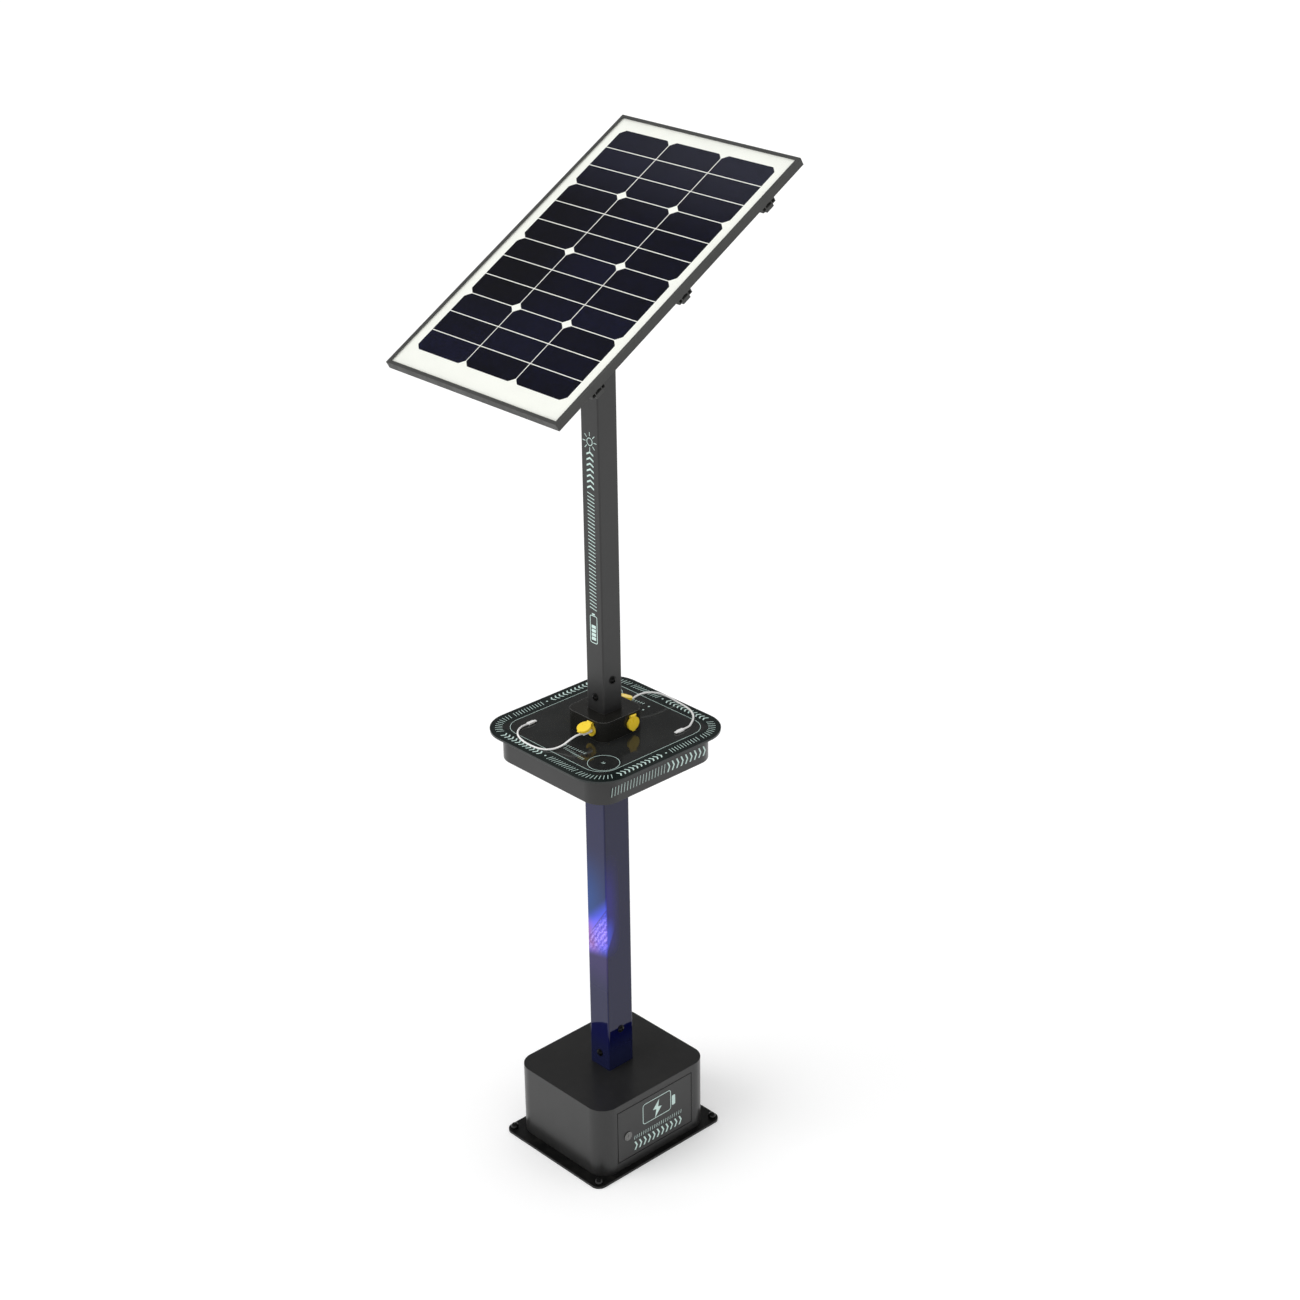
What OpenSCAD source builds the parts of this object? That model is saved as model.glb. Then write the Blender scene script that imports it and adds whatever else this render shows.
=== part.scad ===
// Solar charging station: a base box with a battery, two stacked poles, a tray with four
// charging ports, and a tilting solar panel. Millimetres, +Z up, the ground at Z = 0.
// The panel faces the front, -Y. The base door is on the right side, +X.

/* [Base] */
// Thickness of the base plate
plate_t = 6; // [4:1:10]
// How far the plate reaches past the box on the left and on the right
plate_side = 16; // [12:1:30]
// How far the plate reaches past the box at the front and at the back
plate_end = 30; // [24:1:45]
// Corner radius of the base plate
plate_r = 22; // [12:1:26]
// Distance of an anchor hole from the edges of the plate
anchor_inset = 17; // [15:0.5:18]
// Diameter of an anchor hole
anchor_hole_d = 12; // [9:0.5:13]
// Diameter of the domed cap over an anchor nut
anchor_cap_d = 19; // [18:0.5:20]
// Height of the domed cap over an anchor nut
anchor_cap_h = 14; // [12:1:20]
// Wall of the domed cap
anchor_cap_wall = 1.5; // [1:0.1:2]
// Width of the base box
box_w = 308; // [290:2:380]
// Depth of the base box
box_d = 350; // [330:2:440]
// Height of the box top above the ground
box_top = 193; // [180:1:240]
// Radius of the box's upright edges
box_r = 46; // [36:1:50]
// Sheet steel of the box walls
sheet_t = 2; // [1.5:0.1:2.5]
// Sheet steel of the box top
box_top_t = 3; // [2:0.5:5]

/* [Door and lock] */
// Distance between the door and the box's round corners, on average
door_margin = 9; // [8:0.5:24]
// Height of the door's lower edge above the ground
door_bottom = 31; // [20:1:33]
// Distance between the door's upper edge and the box top
door_top_gap = 21; // [19:0.5:40]
// How far the door's middle is set towards the front
door_shift = 4; // [0:0.5:5]
// Gap round the door
door_gap = 2; // [1.8:0.1:2.5]
// Sheet steel of the door
door_skin = 1.5; // [1:0.1:1.5]
// Depth of the door's folded edges
door_depth = 8; // [7:0.5:12]
// Wall of the folded frame round the door
frame_wall = 2.5; // [2:0.1:3]
// Width of the ledge behind the door
ledge_w = 12; // [10:0.5:16]
// Thickness of that ledge
ledge_t = 2; // [1.5:0.1:3]
// Width of the foam seal on the ledge
seal_w = 8; // [5:0.5:9.5]
// Thickness of the foam seal
seal_t = 2.7; // [2:0.1:4]
// Diameter of a door pivot pin
door_pin_d = 4; // [3:0.1:4]
// Distance of the pivot axis from the door's face and from its rear edge
door_pin_set = 3.6; // [3.5:0.1:4]
// Length of a door pivot pin inside the door
door_pin_in = 8; // [6:0.5:12]
// Distance of the lock from the door's free edge
lock_inset = 31; // [26:1:34]
// Height of the lock above the door's lower edge
lock_rise = 63; // [50:1:90]
// Diameter of the lock's head
lock_head_d = 23; // [22:0.5:26]
// Height of the lock's head
lock_head_t = 2; // [1:0.5:4]
// Diameter of the lock's barrel
lock_barrel_d = 19; // [17:0.5:20]
// Diameter of the turning plug
lock_plug_d = 13; // [11:0.5:14]
// Reach of the cam from the lock's axis
cam_l = 32; // [30:0.5:34]
// Width of the cam
cam_w = 15; // [12:0.5:18]
// Thickness of the cam
cam_t = 2.5; // [2:0.1:3]

/* [Inside the base] */
// Gap between the battery and the pole's stub
battery_gap = 6; // [4:1:20]
// Gap between the battery and the frame of the door
battery_door_gap = 11; // [10:1:30]
// Length of the battery case, front to back
battery_l = 151; // [120:1:152]
// Height of the battery case
battery_h = 95; // [80:1:97]
// Width of the strap that holds the battery
strap_w = 25; // [15:1:40]
// Thickness of the strap
strap_t = 2; // [1:0.5:3]
// Width of the charge controller
controller_w = 70; // [50:1:80]
// Gap between the charge controller and the box top
controller_top_gap = 30; // [12:1:60]
// Thickness of the charge controller
controller_t = 35; // [25:1:38]
// Width of the fuse block
fuse_w = 60; // [40:1:70]
// Height of the fuse block
fuse_h = 45; // [30:1:60]
// Thickness of the fuse block
fuse_t = 22; // [15:1:30]

/* [Poles] */
// Width of the lower pole, left to right
lower_w = 66; // [60:1:70]
// Depth of the lower pole, front to back
lower_d = 78; // [72:1:90]
// Wall of the lower pole
lower_wall = 2.5; // [2:0.1:3]
// Side of the square upper pole
upper_w = 56; // [50:1:60]
// Wall of the upper pole
upper_wall = 2; // [1.5:0.1:3]
// Length of the upper pole
upper_l = 934; // [700:2:1200]
// Edge radius of both poles
pole_edge_r = 3.5; // [3.2:0.1:5]
// Wall of the stubs that the poles slide over
stub_wall = 3; // [2:0.5:4]
// Reach of a stub into its pole
stub_reach = 150; // [145:1:220]
// Height of the lower pole's front bolt above the box top
lower_bolt_low = 38; // [25:1:60]
// Height of the lower pole's side bolt above the box top
lower_bolt_high = 104; // [85:1:130]
// Height of the upper pole's front bolt above the tray
upper_bolt_low = 85; // [70:1:95]
// Height of the upper pole's side bolt above the tray
upper_bolt_high = 128; // [118:1:135]
// Thread of the pole bolts
bolt_d = 8; // [6:0.5:10]
// Diameter of the pole bolts' washers
washer_d = 19; // [17:0.5:22]
// Thickness of the pole bolts' washers
washer_t = 1.6; // [1:0.1:2.5]
// Diameter of the pole bolts' domed heads
dome_d = 15; // [14:0.5:16]
// Height of the pole bolts' domed heads
dome_h = 4.8; // [4:0.1:6]
// Size across the flats of the pole bolts' nuts
nut_w = 13; // [12.5:0.5:16]
// Height of the pole bolts' nuts
nut_h = 6.5; // [5:0.5:8]

/* [Tray] */
// Side of the square tray top
tray_w = 420; // [412:2:460]
// Thickness of the tray top
tray_t = 5; // [3:0.5:8]
// Corner radius of the tray top
tray_r = 82; // [70:1:95]
// Height of the tray's surface above the ground
tray_top = 1100; // [900:10:1150]
// How far the skirt under the tray is set in from its edge
skirt_inset = 29; // [20:1:31]
// Height of the skirt
skirt_h = 69; // [60:1:110]
// Sheet steel of the skirt
skirt_wall = 2; // [1.5:0.1:3]
// Width of the skirt's folded rims
rim_w = 12; // [10:0.5:16]
// Thickness of the skirt's folded rims
rim_t = 2; // [1.5:0.1:3]
// Thickness of the cover under the tray
cover_plate_t = 2; // [1.5:0.1:3]
// Side of the flange under the tray top
flange_w = 160; // [120:2:164]
// Thickness of that flange
flange_t = 6; // [4:0.5:10]
// Diameter of the cable hole in the flange
flange_hole_d = 30; // [20:1:34]
// Diameter of a wireless charging coil's housing
coil_d = 64; // [50:1:70]
// Thickness of a wireless charging coil's housing
coil_t = 8; // [5:0.5:12]
// Distance of a coil from the tray's middle, left to right
coil_x = 127; // [122:1:130]
// Distance of a coil from the tray's middle, front to back
coil_y = 121; // [115:1:130]
// Width of the 5 V supply
supply_w = 80; // [50:1:84]
// Depth of the 5 V supply
supply_d = 60; // [40:1:66]
// Height of the 5 V supply
supply_h = 30; // [20:1:40]

/* [Port block] */
// Side of the port block
block_w = 128; // [124:1:140]
// Height of the port block
block_h = 50; // [49:0.5:56]
// Radius of the port block's upright edges
block_r = 26; // [15:1:26]
// Wall of the port block
block_wall = 2.5; // [2:0.1:3]
// How far a port sits beside the middle of its side
port_shift = 24; // [20:0.5:25]
// Height of a port's middle above the tray
port_rise = 25; // [24:0.5:25.5]
// Diameter of a port's collar
port_d = 30.2; // [29:0.2:30.2]
// Thickness of a port's collar
collar_t = 3; // [2.5:0.1:4]
// Diameter of a port's body behind the collar
port_body_d = 23.5; // [22:0.5:26]
// Length of a port's body behind the collar
port_body_l = 26; // [20:0.5:28]
// Width of the charging slot
slot_w = 12.5; // [12.3:0.1:13]
// Height of the charging slot
slot_h = 5.1; // [5:0.1:5.6]
// Depth of the charging slot
slot_l = 14; // [13:0.5:18]
// Diameter of a port's hinged cover
cover_d = 33.2; // [32.8:0.1:33.4]
// Thickness of a port's hinged cover
cover_t = 3.2; // [2.5:0.1:3.4]
// Wall of the cover's rim
cover_rim = 1.1; // [0.8:0.1:1.2]
// Height of the cover's hinge above the port's middle
hinge_rise = 18.6; // [18.6:0.1:19.1]
// Distance of the cover's hinge from the block's face
hinge_set = 3.5; // [3.2:0.1:3.6]
// Diameter of the hinge knuckles
knuckle_d = 5.4; // [5:0.1:5.8]
// Width of the cover's knuckle
knuckle_w = 8; // [6:0.5:9]
// Width of a hinge lug on the collar
lug_w = 3.8; // [3:0.1:4.5]
// Diameter of the cover's hinge pin
cover_pin_d = 2.2; // [2:0.1:2.4]
// Width of the cover's finger tab
tab_w = 8; // [6:0.5:11]
// Reach of the cover's finger tab past its edge
tab_reach = 2; // [1:0.1:2.5]
// Angle at which a cover rests on a plugged cable
cover_open = 70; // [70:1:80]

/* [Charging cables] */
// Diameter of a charging cable
cable_d = 4.5; // [3.5:0.1:4.8]
// Width of the plug's grip
plug_w = 15.5; // [14:0.5:17]
// Height of the plug's grip
plug_h = 7.5; // [6.5:0.1:8]
// Length of the plug's grip
plug_l = 24.7; // [20:0.1:26]
// Width of the plug's metal shell
shell_w = 12; // [11.5:0.1:12.1]
// Height of the plug's metal shell
shell_h = 4.5; // [4:0.1:4.6]
// Length of the plug's metal shell
shell_l = 11.5; // [10:0.1:12.5]
// Length of the plug's strain relief
relief_l = 8; // [5:0.5:10]
// Width of the phone plug's grip
phone_plug_w = 9.5; // [9:0.1:11]
// Height of the phone plug's grip
phone_plug_h = 5.5; // [5:0.1:5.6]
// Length of the phone plug's grip
phone_plug_l = 17; // [14:0.5:20]
// Length of the phone plug's strain relief
phone_relief_l = 4; // [3:0.5:6]
// Width of the phone plug's tongue
tongue_w = 8.3; // [6.7:0.1:8.5]
// Height of the phone plug's tongue
tongue_h = 2.5; // [1.5:0.1:2.6]
// Length of the phone plug's tongue
tongue_l = 6.5; // [6:0.1:7]

/* [Panel] */
// Width of the panel
panel_w = 540; // [536:1:600]
// Length of the panel up its slope
panel_l = 797; // [780:1:900]
// Height of the panel's frame
frame_h = 18; // [17:0.5:35]
// Wall of the frame's section
frame_t = 1.5; // [1.2:0.1:1.8]
// Width of the frame's lip over the glass
lip_w = 8.5; // [7.5:0.1:9]
// Width of the frame's foot
foot_w = 22; // [21.5:0.5:30]
// Thickness of the glass
glass_t = 3.2; // [2.8:0.1:4]
// Thickness of the backsheet and the resin round the cells
back_t = 1.1; // [0.8:0.1:1.5]
// Width of a cell strip
cell_w = 156; // [150:0.5:158]
// Length of a cell strip up the slope
strip_l = 56.5; // [50:0.5:58]
// Gap between strips
cell_gap = 2; // [1:0.1:3]
// Thickness of a cell strip
cell_t = 0.4; // [0.3:0.1:0.6]
// Radius of the round wafer that a cell was cut from
wafer_r = 108; // [104:0.5:112]
// How far the field of cells is set up the slope
field_shift = 10; // [0:1:20]
// Columns of cells
columns = 3; // [2:1:3]
// Cells in a column
cell_rows = 4; // [2:1:4]
// Strips that a cell is cut into
strips_each = 3; // [2:1:3]
// Leg of a corner key in the frame
key_l = 30; // [20:1:50]
// Width of the junction box
jbox_w = 110; // [80:1:140]
// Length of the junction box
jbox_l = 75; // [60:1:90]
// Thickness of the junction box
jbox_t = 20; // [14:0.5:26]
// Distance of the junction box from the panel's middle
jbox_shift = 139; // [110:1:170]
// Width of a cross rail
rail_w = 40; // [36:1:50]
// Height of a cross rail's wide part
rail_h = 11; // [10:0.5:16]
// Width of a cross rail's foot
rail_foot_w = 22; // [18:1:28]
// Height of a cross rail's foot
rail_foot_h = 6; // [5:0.5:10]
// Distance of the outer rails from the middle one
rail_spread = 278; // [230:1:280]
// Width of the slot in a rail
rail_slot_w = 9; // [8:0.5:10]
// Width of the channel under that slot
rail_channel_w = 17; // [16:0.5:20]
// Height of that channel
rail_channel_h = 6; // [5.5:0.1:6.5]
// Wall of a rail
rail_wall = 2; // [1.5:0.1:2.5]
// Width of the spine under the rails
spine_w = 60; // [56:1:80]
// Height of the spine
spine_h = 25; // [20:1:40]
// Wall of the spine
spine_wall = 2.5; // [2:0.1:3]
// Length of the spine
spine_l = 620; // [600:2:700]
// Thread of the bolts under the panel
stud_d = 6; // [5:0.5:6]
// Size across the flats of those bolts
stud_nut_w = 10; // [8:0.5:10]
// Height of those bolts' heads and nuts
stud_nut_h = 4.5; // [3.5:0.1:5]

/* [Tilt head] */
// Slope of the panel at rest, in degrees
tilt = 30.5; // [22:0.5:40]
// Travel of the tilt clamp each way, in degrees
tilt_swing = 15; // [5:1:20]
// Height of the pivot above the top of the pole
pivot_rise = 44; // [42:1:60]
// Thickness of the head's foot on the pole
head_t = 5; // [4:0.5:8]
// Thickness of the head's ears and of the cradle's
ear_t = 5; // [4:0.5:6]
// Diameter of the pivot bolt
pivot_d = 10; // [8:0.5:12]
// Diameter of a clamp bolt
clamp_d = 8; // [6:0.5:9]
// Distance of the clamp bolts from the pivot
slot_r = 26; // [24:0.5:27]
// Edge of the ear outside its slot
ear_edge = 5.5; // [4:0.5:7]
// Distance from the pivot to the cradle's plate
cradle_drop = 42; // [41:0.5:60]
// Thickness of the cradle's plate
cradle_t = 4; // [3:0.5:6]
// Length of the cradle
cradle_l = 104; // [100:1:140]
// Distance of the panel's middle from the pivot, up the slope
panel_shift = 48.5; // [30:0.5:60]

/* [Hidden] */
$fn = 48;
// Overrun of every cut past the face that it leaves
over = 1;
// Sliding clearance between a pole and its stub, and round plates in their seats
slip = 0.3;
// Gap where a carried piece rests on its seat
seat_gap = 0.3;
// Radial clearance of a pin that turns
run_gap = 0.05;
// Radial clearance of a pin or a thread that is fixed
fixed_gap = 0.02;
// Clearance of a bolt in its hole, on the diameter
bolt_play = 1;
// Edge radius inside the poles and outside the stubs
stub_edge_r = 2;
// Clearance of the tray's cover round the lower pole
pole_gap = 1;
// Thread of the screws in the tray's cover, their heads and where they stand
screw_d = 4;
screw_head_d = 8;
screw_head_h = 2.4;
screw_spread = 60;
// Keyway in the lock's plug
key_slot_w = 1.6;
key_slot_l = 8;
key_slot_depth = 5;
// Stud at the rear of the lock's plug, which carries the cam
cam_stud_d = 6;
cam_stud_l = 3;
// Gap between the cam and the ledge that it locks behind
cam_gap = 0.4;
// Nut behind the door that holds the lock
lock_nut_d = 25;
lock_nut_t = 3.5;
// Terminals of the battery and its lid
terminal_d = 12;
terminal_h = 6;
lid_h = 8;
lid_inset = 2;
// Foot of the battery's strap
strap_foot = 18;
// Charge controller and fuse block: how far they stand towards the door, and above the plate
controller_x = 40;
controller_z = 24;
fin_t = 2;
fin_pitch = 7;
fin_h = 8;
fuse_x = 40;
fuse_z = 56;
// Middle of the 5 V supply under the tray, and the foot that holds it
supply_x = 122;
supply_y = 114;
supply_foot = 8;
supply_foot_t = 2;
// Ferrite ring of a wireless coil
ferrite_t = 3;
ferrite_hole_share = 0.35;
// Reach of a hinge lug down the collar
lug_web = 6.8;
// Room round the lugs in the cover
lug_room = 0.4;
// Distance of the cover's rim from the block
rim_start = 0.5;
// Height above the port's axis at which the rim inside a cover ends
rim_top = 7;
// Grip of a plug: edge radius, and the end of its strain relief over the cable
grip_r = 2.4;
relief_d = 6.8;
relief_end_d = 5;
phone_grip_r = 1.8;
phone_relief_d = 5.2;
phone_relief_end_d = 4.9;
tongue_r = 1.1;
// Gap between glass and lip, and between glass and frame wall
glass_seat = 0.2;
glass_edge = 1;
// Clearance of a corner key in its chamber
key_play = 0.1;
// Glands of the junction box, their thickness as a share of the box's
gland_share = 0.6;
gland_l = 12;
gland_spread = 30;
// Lid of the junction box
jbox_lid_t = 3;
jbox_lid_inset = 3;
// Length of a rail less than the panel's width, at each end
rail_end = 1;
// Distance of a rail's frame bolt from the panel's side
rail_bolt_inset = 15.2;
// Places of the bolts in the spine, across it and along it
spine_bolt_x = 18;
cradle_bolt_y = 42;
// Hex head and nut of the pivot bolt and the clamp bolts
pivot_head_h = 6.4;
pivot_head_share = 1.7;
clamp_head_share = 1.62;
// Clearance of a clamp bolt in its arc slot, at each side
slot_play = 0.3;
// Gap between ears that turn on each other
ear_gap = 0.3;
// Hole in the head's foot for the panel's cable
head_hole_d = 20;
// Sides of a cable's tube, and steps between two points of its route
tube_sides = 8;
route_steps = 2;

// Worked-out values
plate_w = box_w + 2 * plate_side;
plate_d = box_d + 2 * plate_end;
door_w = box_d - 2 * box_r - 2 * door_margin;
door_h = box_top - door_top_gap - door_bottom;
controller_h = box_top - controller_top_gap - plate_t - controller_z;
stub_w = lower_w - 2 * lower_wall - 2 * slip;
stub_d = lower_d - 2 * lower_wall - 2 * slip;
mid_w = upper_w - 2 * upper_wall - 2 * slip;
tray_under = tray_top - tray_t;
flange_under = tray_under - flange_t;
lower_l = flange_under - box_top;
skirt_w = tray_w - 2 * skirt_inset;
skirt_r = tray_r - skirt_inset;
skirt_bottom = tray_under - skirt_h;
pole_top = tray_top + upper_l;
pivot_z = pole_top + pivot_rise;
rail_total = rail_h + rail_foot_h;
panel_drop = cradle_drop + cradle_t + spine_h + rail_total + frame_h;
shelf_drop = frame_t + glass_seat + glass_t + back_t;
door_face = box_w / 2;
door_y0 = -door_shift - door_w / 2;
door_y1 = door_y0 + door_w;
door_z1 = door_bottom + door_h;
frame_depth = door_depth + seal_t + seat_gap + ledge_t;
rim_to_wall = door_gap + frame_wall;
door_pin_x = door_face - door_pin_set;
door_pin_y = door_y1 - door_pin_set;
lock_y = door_y0 + lock_inset;
lock_z = door_bottom + lock_rise;
cam_x = door_face - frame_depth - cam_gap - cam_t;
barrel_l = frame_depth + cam_gap - lock_head_t;
battery_from = stub_w / 2 + battery_gap;
battery_w = door_face - frame_depth - battery_door_gap - battery_from;
battery_x = battery_from + battery_w / 2;
cover_seat = collar_t + seat_gap;
plug_end = cover_seat + plug_l + relief_l;
lug_span = knuckle_w / 2 + slip + lug_w;
ear_in = upper_w / 2 - ear_t;
cradle_in = upper_w / 2 + ear_gap;
cradle_out = cradle_in + ear_t;
slot_half = clamp_d / 2 + slot_play;
ear_r = slot_r + slot_half + ear_edge;
clamp_edge = clamp_d / 2 + ear_edge;
group_l = strips_each * (strip_l + cell_gap);

// Routes of the cables on the tray, from the port to the phone's plug
front_route = [
    [24, -100, 1125], [24, -110, 1125], [22, -124, 1121], [16, -142, 1111], [7, -158, 1104.8],
    [-6, -172, 1102.4], [-24, -181, 1102.3], [-46, -184, 1102.3], [-68, -183, 1102.3],
    [-90, -178, 1102.3], [-108, -169, 1102.3], [-121, -156, 1102.4], [-128, -141, 1102.8],
    [-129, -132, 1103], [-129, -124, 1103]
];
back_route = [
    [-24, 100, 1125], [-24, 110, 1125.5], [-22, 126, 1129], [-15, 146, 1130], [-3, 168, 1125],
    [14, 188, 1113], [34, 196, 1105], [56, 197, 1102.4], [78, 192, 1102.3], [98, 182, 1102.3],
    [114, 168, 1102.3], [127, 150, 1102.4], [136, 134, 1102.8], [138, 124, 1103], [138, 116, 1103]
];

black_paint = "#2b2c2b";
plate_black = "#1d1e1e";
navy_paint = "#232a5c";
frame_grey = "#4a4b4a";
bare_alu = "#a9acae";
zinc = "#8f9396";
port_yellow = "#edc52d";
cable_white = "#ececea";
gloss_black = "#161b1b";
cell_navy = "#11142a";
sheet_white = "#f6f6f0";
rubber_black = "#202020";
case_grey = "#5b6064";
battery_blue = "#2f4a6b";
glass_tint = [0.8, 0.9, 0.95, 0.25];

// A rectangle with round corners
module rounded_rect(w, d, r) {
    square([w - 2 * r, d], center = true);
    square([w, d - 2 * r], center = true);
    for (sx = [-1, 1], sy = [-1, 1])
        translate([sx * (w / 2 - r), sy * (d / 2 - r)]) circle(r);
}

// A rectangular tube standing on Z = 0
module tube(w, d, wall, h, outer_r) {
    difference() {
        linear_extrude(h) rounded_rect(w, d, outer_r);
        translate([0, 0, -over])
            linear_extrude(h + 2 * over)
                rounded_rect(w - 2 * wall, d - 2 * wall, outer_r / 2);
    }
}

// A cylinder along +X, from x
module rod_x(d, x, l) {
    translate([x, 0, 0]) rotate([0, 90, 0]) cylinder(d = d, h = l);
}

// A six-sided prism on Z = 0, w across its flats
module hex(w, h) {
    cylinder(d = w / cos(30), h = h, $fn = 6);
}

// A low dome on Z = 0, cut from a sphere
module dome(d, h) {
    ball_r = (d * d / 4 + h * h) / (2 * h);
    intersection() {
        translate([0, 0, h - ball_r]) sphere(ball_r);
        cylinder(d = d + over, h = h + over);
    }
}

// A washer with a domed head, above Z = 0
module domed_head() {
    cylinder(d = washer_d, h = washer_t);
    translate([0, 0, washer_t]) difference() {
        dome(dome_d, dome_h);
        translate([0, 0, dome_h / 2]) hex(bolt_d * 5 / 8, dome_h);
    }
}

// A bolt along Z through a pole of the given width, head up
module cross_bolt(span) {
    tail = washer_t + nut_h + washer_t;
    translate([0, 0, span / 2]) domed_head();
    translate([0, 0, -span / 2 - tail]) cylinder(d = bolt_d, h = span + tail + washer_t / 2);
}

// The nut and washer at the far end of that bolt
module cross_nut(span) {
    translate([0, 0, -span / 2 - washer_t - nut_h]) difference() {
        union() {
            hex(nut_w, nut_h);
            translate([0, 0, nut_h]) cylinder(d = washer_d, h = washer_t);
        }
        translate([0, 0, -over])
            cylinder(d = bolt_d + 2 * fixed_gap, h = nut_h + washer_t + 2 * over);
    }
}

// Places a bolt across the poles: one with its head to the right, one with its head to the front
module side_bolt(z) {
    translate([0, 0, z]) rotate([0, 90, 0]) children();
}
module front_bolt(z) {
    translate([0, 0, z]) rotate([90, 0, 0]) children();
}
module bolt_bore() {
    cylinder(d = bolt_d + bolt_play, h = 2 * lower_d, center = true);
}
module lower_bores() {
    side_bolt(box_top + lower_bolt_high) bolt_bore();
    front_bolt(box_top + lower_bolt_low) bolt_bore();
}
module upper_bores() {
    side_bolt(tray_top + upper_bolt_high) bolt_bore();
    front_bolt(tray_top + upper_bolt_low) bolt_bore();
}

module at_anchors() {
    for (sx = [-1, 1], sy = [-1, 1])
        translate([sx * (plate_w / 2 - anchor_inset), sy * (plate_d / 2 - anchor_inset), 0])
            children();
}

module base_plate() {
    color(plate_black) difference() {
        linear_extrude(plate_t) rounded_rect(plate_w, plate_d, plate_r);
        at_anchors() translate([0, 0, -over]) cylinder(d = anchor_hole_d, h = plate_t + 2 * over);
    }
}

// Half outline of a cap with a round top
module cap_outline(r, h) {
    intersection() {
        union() {
            square([r, h - r]);
            translate([0, h - r]) circle(r);
        }
        square([r, h]);
    }
}

module anchor_caps() {
    color(rubber_black) at_anchors() translate([0, 0, plate_t]) rotate_extrude() difference() {
        cap_outline(anchor_cap_d / 2, anchor_cap_h);
        translate([0, -over])
            cap_outline(anchor_cap_d / 2 - anchor_cap_wall, anchor_cap_h - anchor_cap_wall + over);
    }
}

// The block that the door frame fills, from x0 to the door's face
module door_block(grow, depth, proud) {
    translate([door_face - depth, door_y0 - grow, door_bottom - grow])
        cube([depth + proud, door_w + 2 * grow, door_h + 2 * grow]);
}

module base_housing() {
    color(black_paint) difference() {
        translate([0, 0, plate_t]) linear_extrude(box_top - plate_t) rounded_rect(box_w, box_d, box_r);
        translate([0, 0, plate_t - over])
            linear_extrude(box_top - box_top_t - plate_t + over)
                rounded_rect(box_w - 2 * sheet_t, box_d - 2 * sheet_t, box_r - sheet_t);
        door_block(rim_to_wall, frame_depth, over);
        translate([0, 0, box_top - box_top_t - over])
            linear_extrude(box_top_t + 2 * over)
                rounded_rect(stub_w + 2 * slip, stub_d + 2 * slip, stub_edge_r);
    }
}

module door_frame() {
    color(black_paint) difference() {
        door_block(rim_to_wall, frame_depth, 0);
        // Pocket for the door
        translate([door_face - frame_depth + ledge_t, door_y0 - door_gap, door_bottom - door_gap])
            cube([frame_depth, door_w + 2 * door_gap, door_h + 2 * door_gap]);
        // Opening inside the ledge, which has no rear side
        translate([
            door_face - frame_depth - over,
            door_y0 - door_gap + ledge_w,
            door_bottom - door_gap + ledge_w
        ])
            cube([frame_depth, door_w + 2 * door_gap - ledge_w, door_h + 2 * door_gap - 2 * ledge_w]);
        // Pivot holes above and below the door
        translate([door_pin_x, door_pin_y, door_bottom - rim_to_wall - over])
            cylinder(d = door_pin_d + 2 * run_gap, h = door_h + 2 * rim_to_wall + 2 * over);
    }
}

module door_seal() {
    x0 = door_face - frame_depth + ledge_t;
    y0 = door_y0 - door_gap + slip;
    z0 = door_bottom - door_gap + slip;
    h = door_h + 2 * door_gap - 2 * slip;
    l = door_pin_y - seal_w - y0;
    color(rubber_black) difference() {
        translate([x0, y0, z0]) cube([seal_t, l, h]);
        translate([x0 - over, y0 + seal_w, z0 + seal_w])
            cube([seal_t + 2 * over, l, h - 2 * seal_w]);
    }
}

module door_panel() {
    color(black_paint) difference() {
        door_block(0, door_depth, 0);
        translate([
            door_face - door_depth - over,
            door_y0 + door_skin,
            door_bottom + door_skin
        ])
            cube([
                door_depth - door_skin + over,
                door_w - 2 * door_skin,
                door_h - 2 * door_skin
            ]);
        translate([0, lock_y, lock_z])
            rod_x(lock_barrel_d + 2 * fixed_gap, door_face - door_depth, door_depth + over);
        translate([door_pin_x, door_pin_y, door_bottom - over])
            cylinder(d = door_pin_d + 2 * fixed_gap, h = door_h + 2 * over);
    }
}

module door_pivot_pins() {
    l = door_pin_in + rim_to_wall;
    color(zinc) for (z = [door_bottom - rim_to_wall, door_z1 - door_pin_in])
        translate([door_pin_x, door_pin_y, z]) cylinder(d = door_pin_d, h = l);
}

// The barrel with its head, and the nut behind the door's skin
module lock_barrel() {
    color(zinc) translate([0, lock_y, lock_z]) {
        difference() {
            union() {
                rod_x(lock_head_d, door_face, lock_head_t);
                rod_x(lock_barrel_d, door_face - barrel_l, barrel_l);
            }
            rod_x(
                lock_plug_d + 2 * run_gap,
                door_face - barrel_l - over,
                barrel_l + lock_head_t + 2 * over
            );
        }
        difference() {
            rod_x(lock_nut_d, door_face - door_skin - lock_nut_t, lock_nut_t);
            rod_x(
                lock_barrel_d + 2 * fixed_gap,
                door_face - door_skin - lock_nut_t - over,
                lock_nut_t + 2 * over
            );
        }
    }
}

module lock_plug() {
    rear = cam_x + cam_t;
    color(zinc) translate([0, lock_y, lock_z]) difference() {
        union() {
            rod_x(lock_plug_d, rear, door_face + lock_head_t - rear);
            rod_x(cam_stud_d, cam_x - cam_stud_l, cam_stud_l + cam_t + over);
        }
        translate([
            door_face + lock_head_t - key_slot_depth,
            -key_slot_w / 2,
            -key_slot_l / 2
        ])
            cube([key_slot_depth + over, key_slot_w, key_slot_l]);
    }
}

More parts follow.
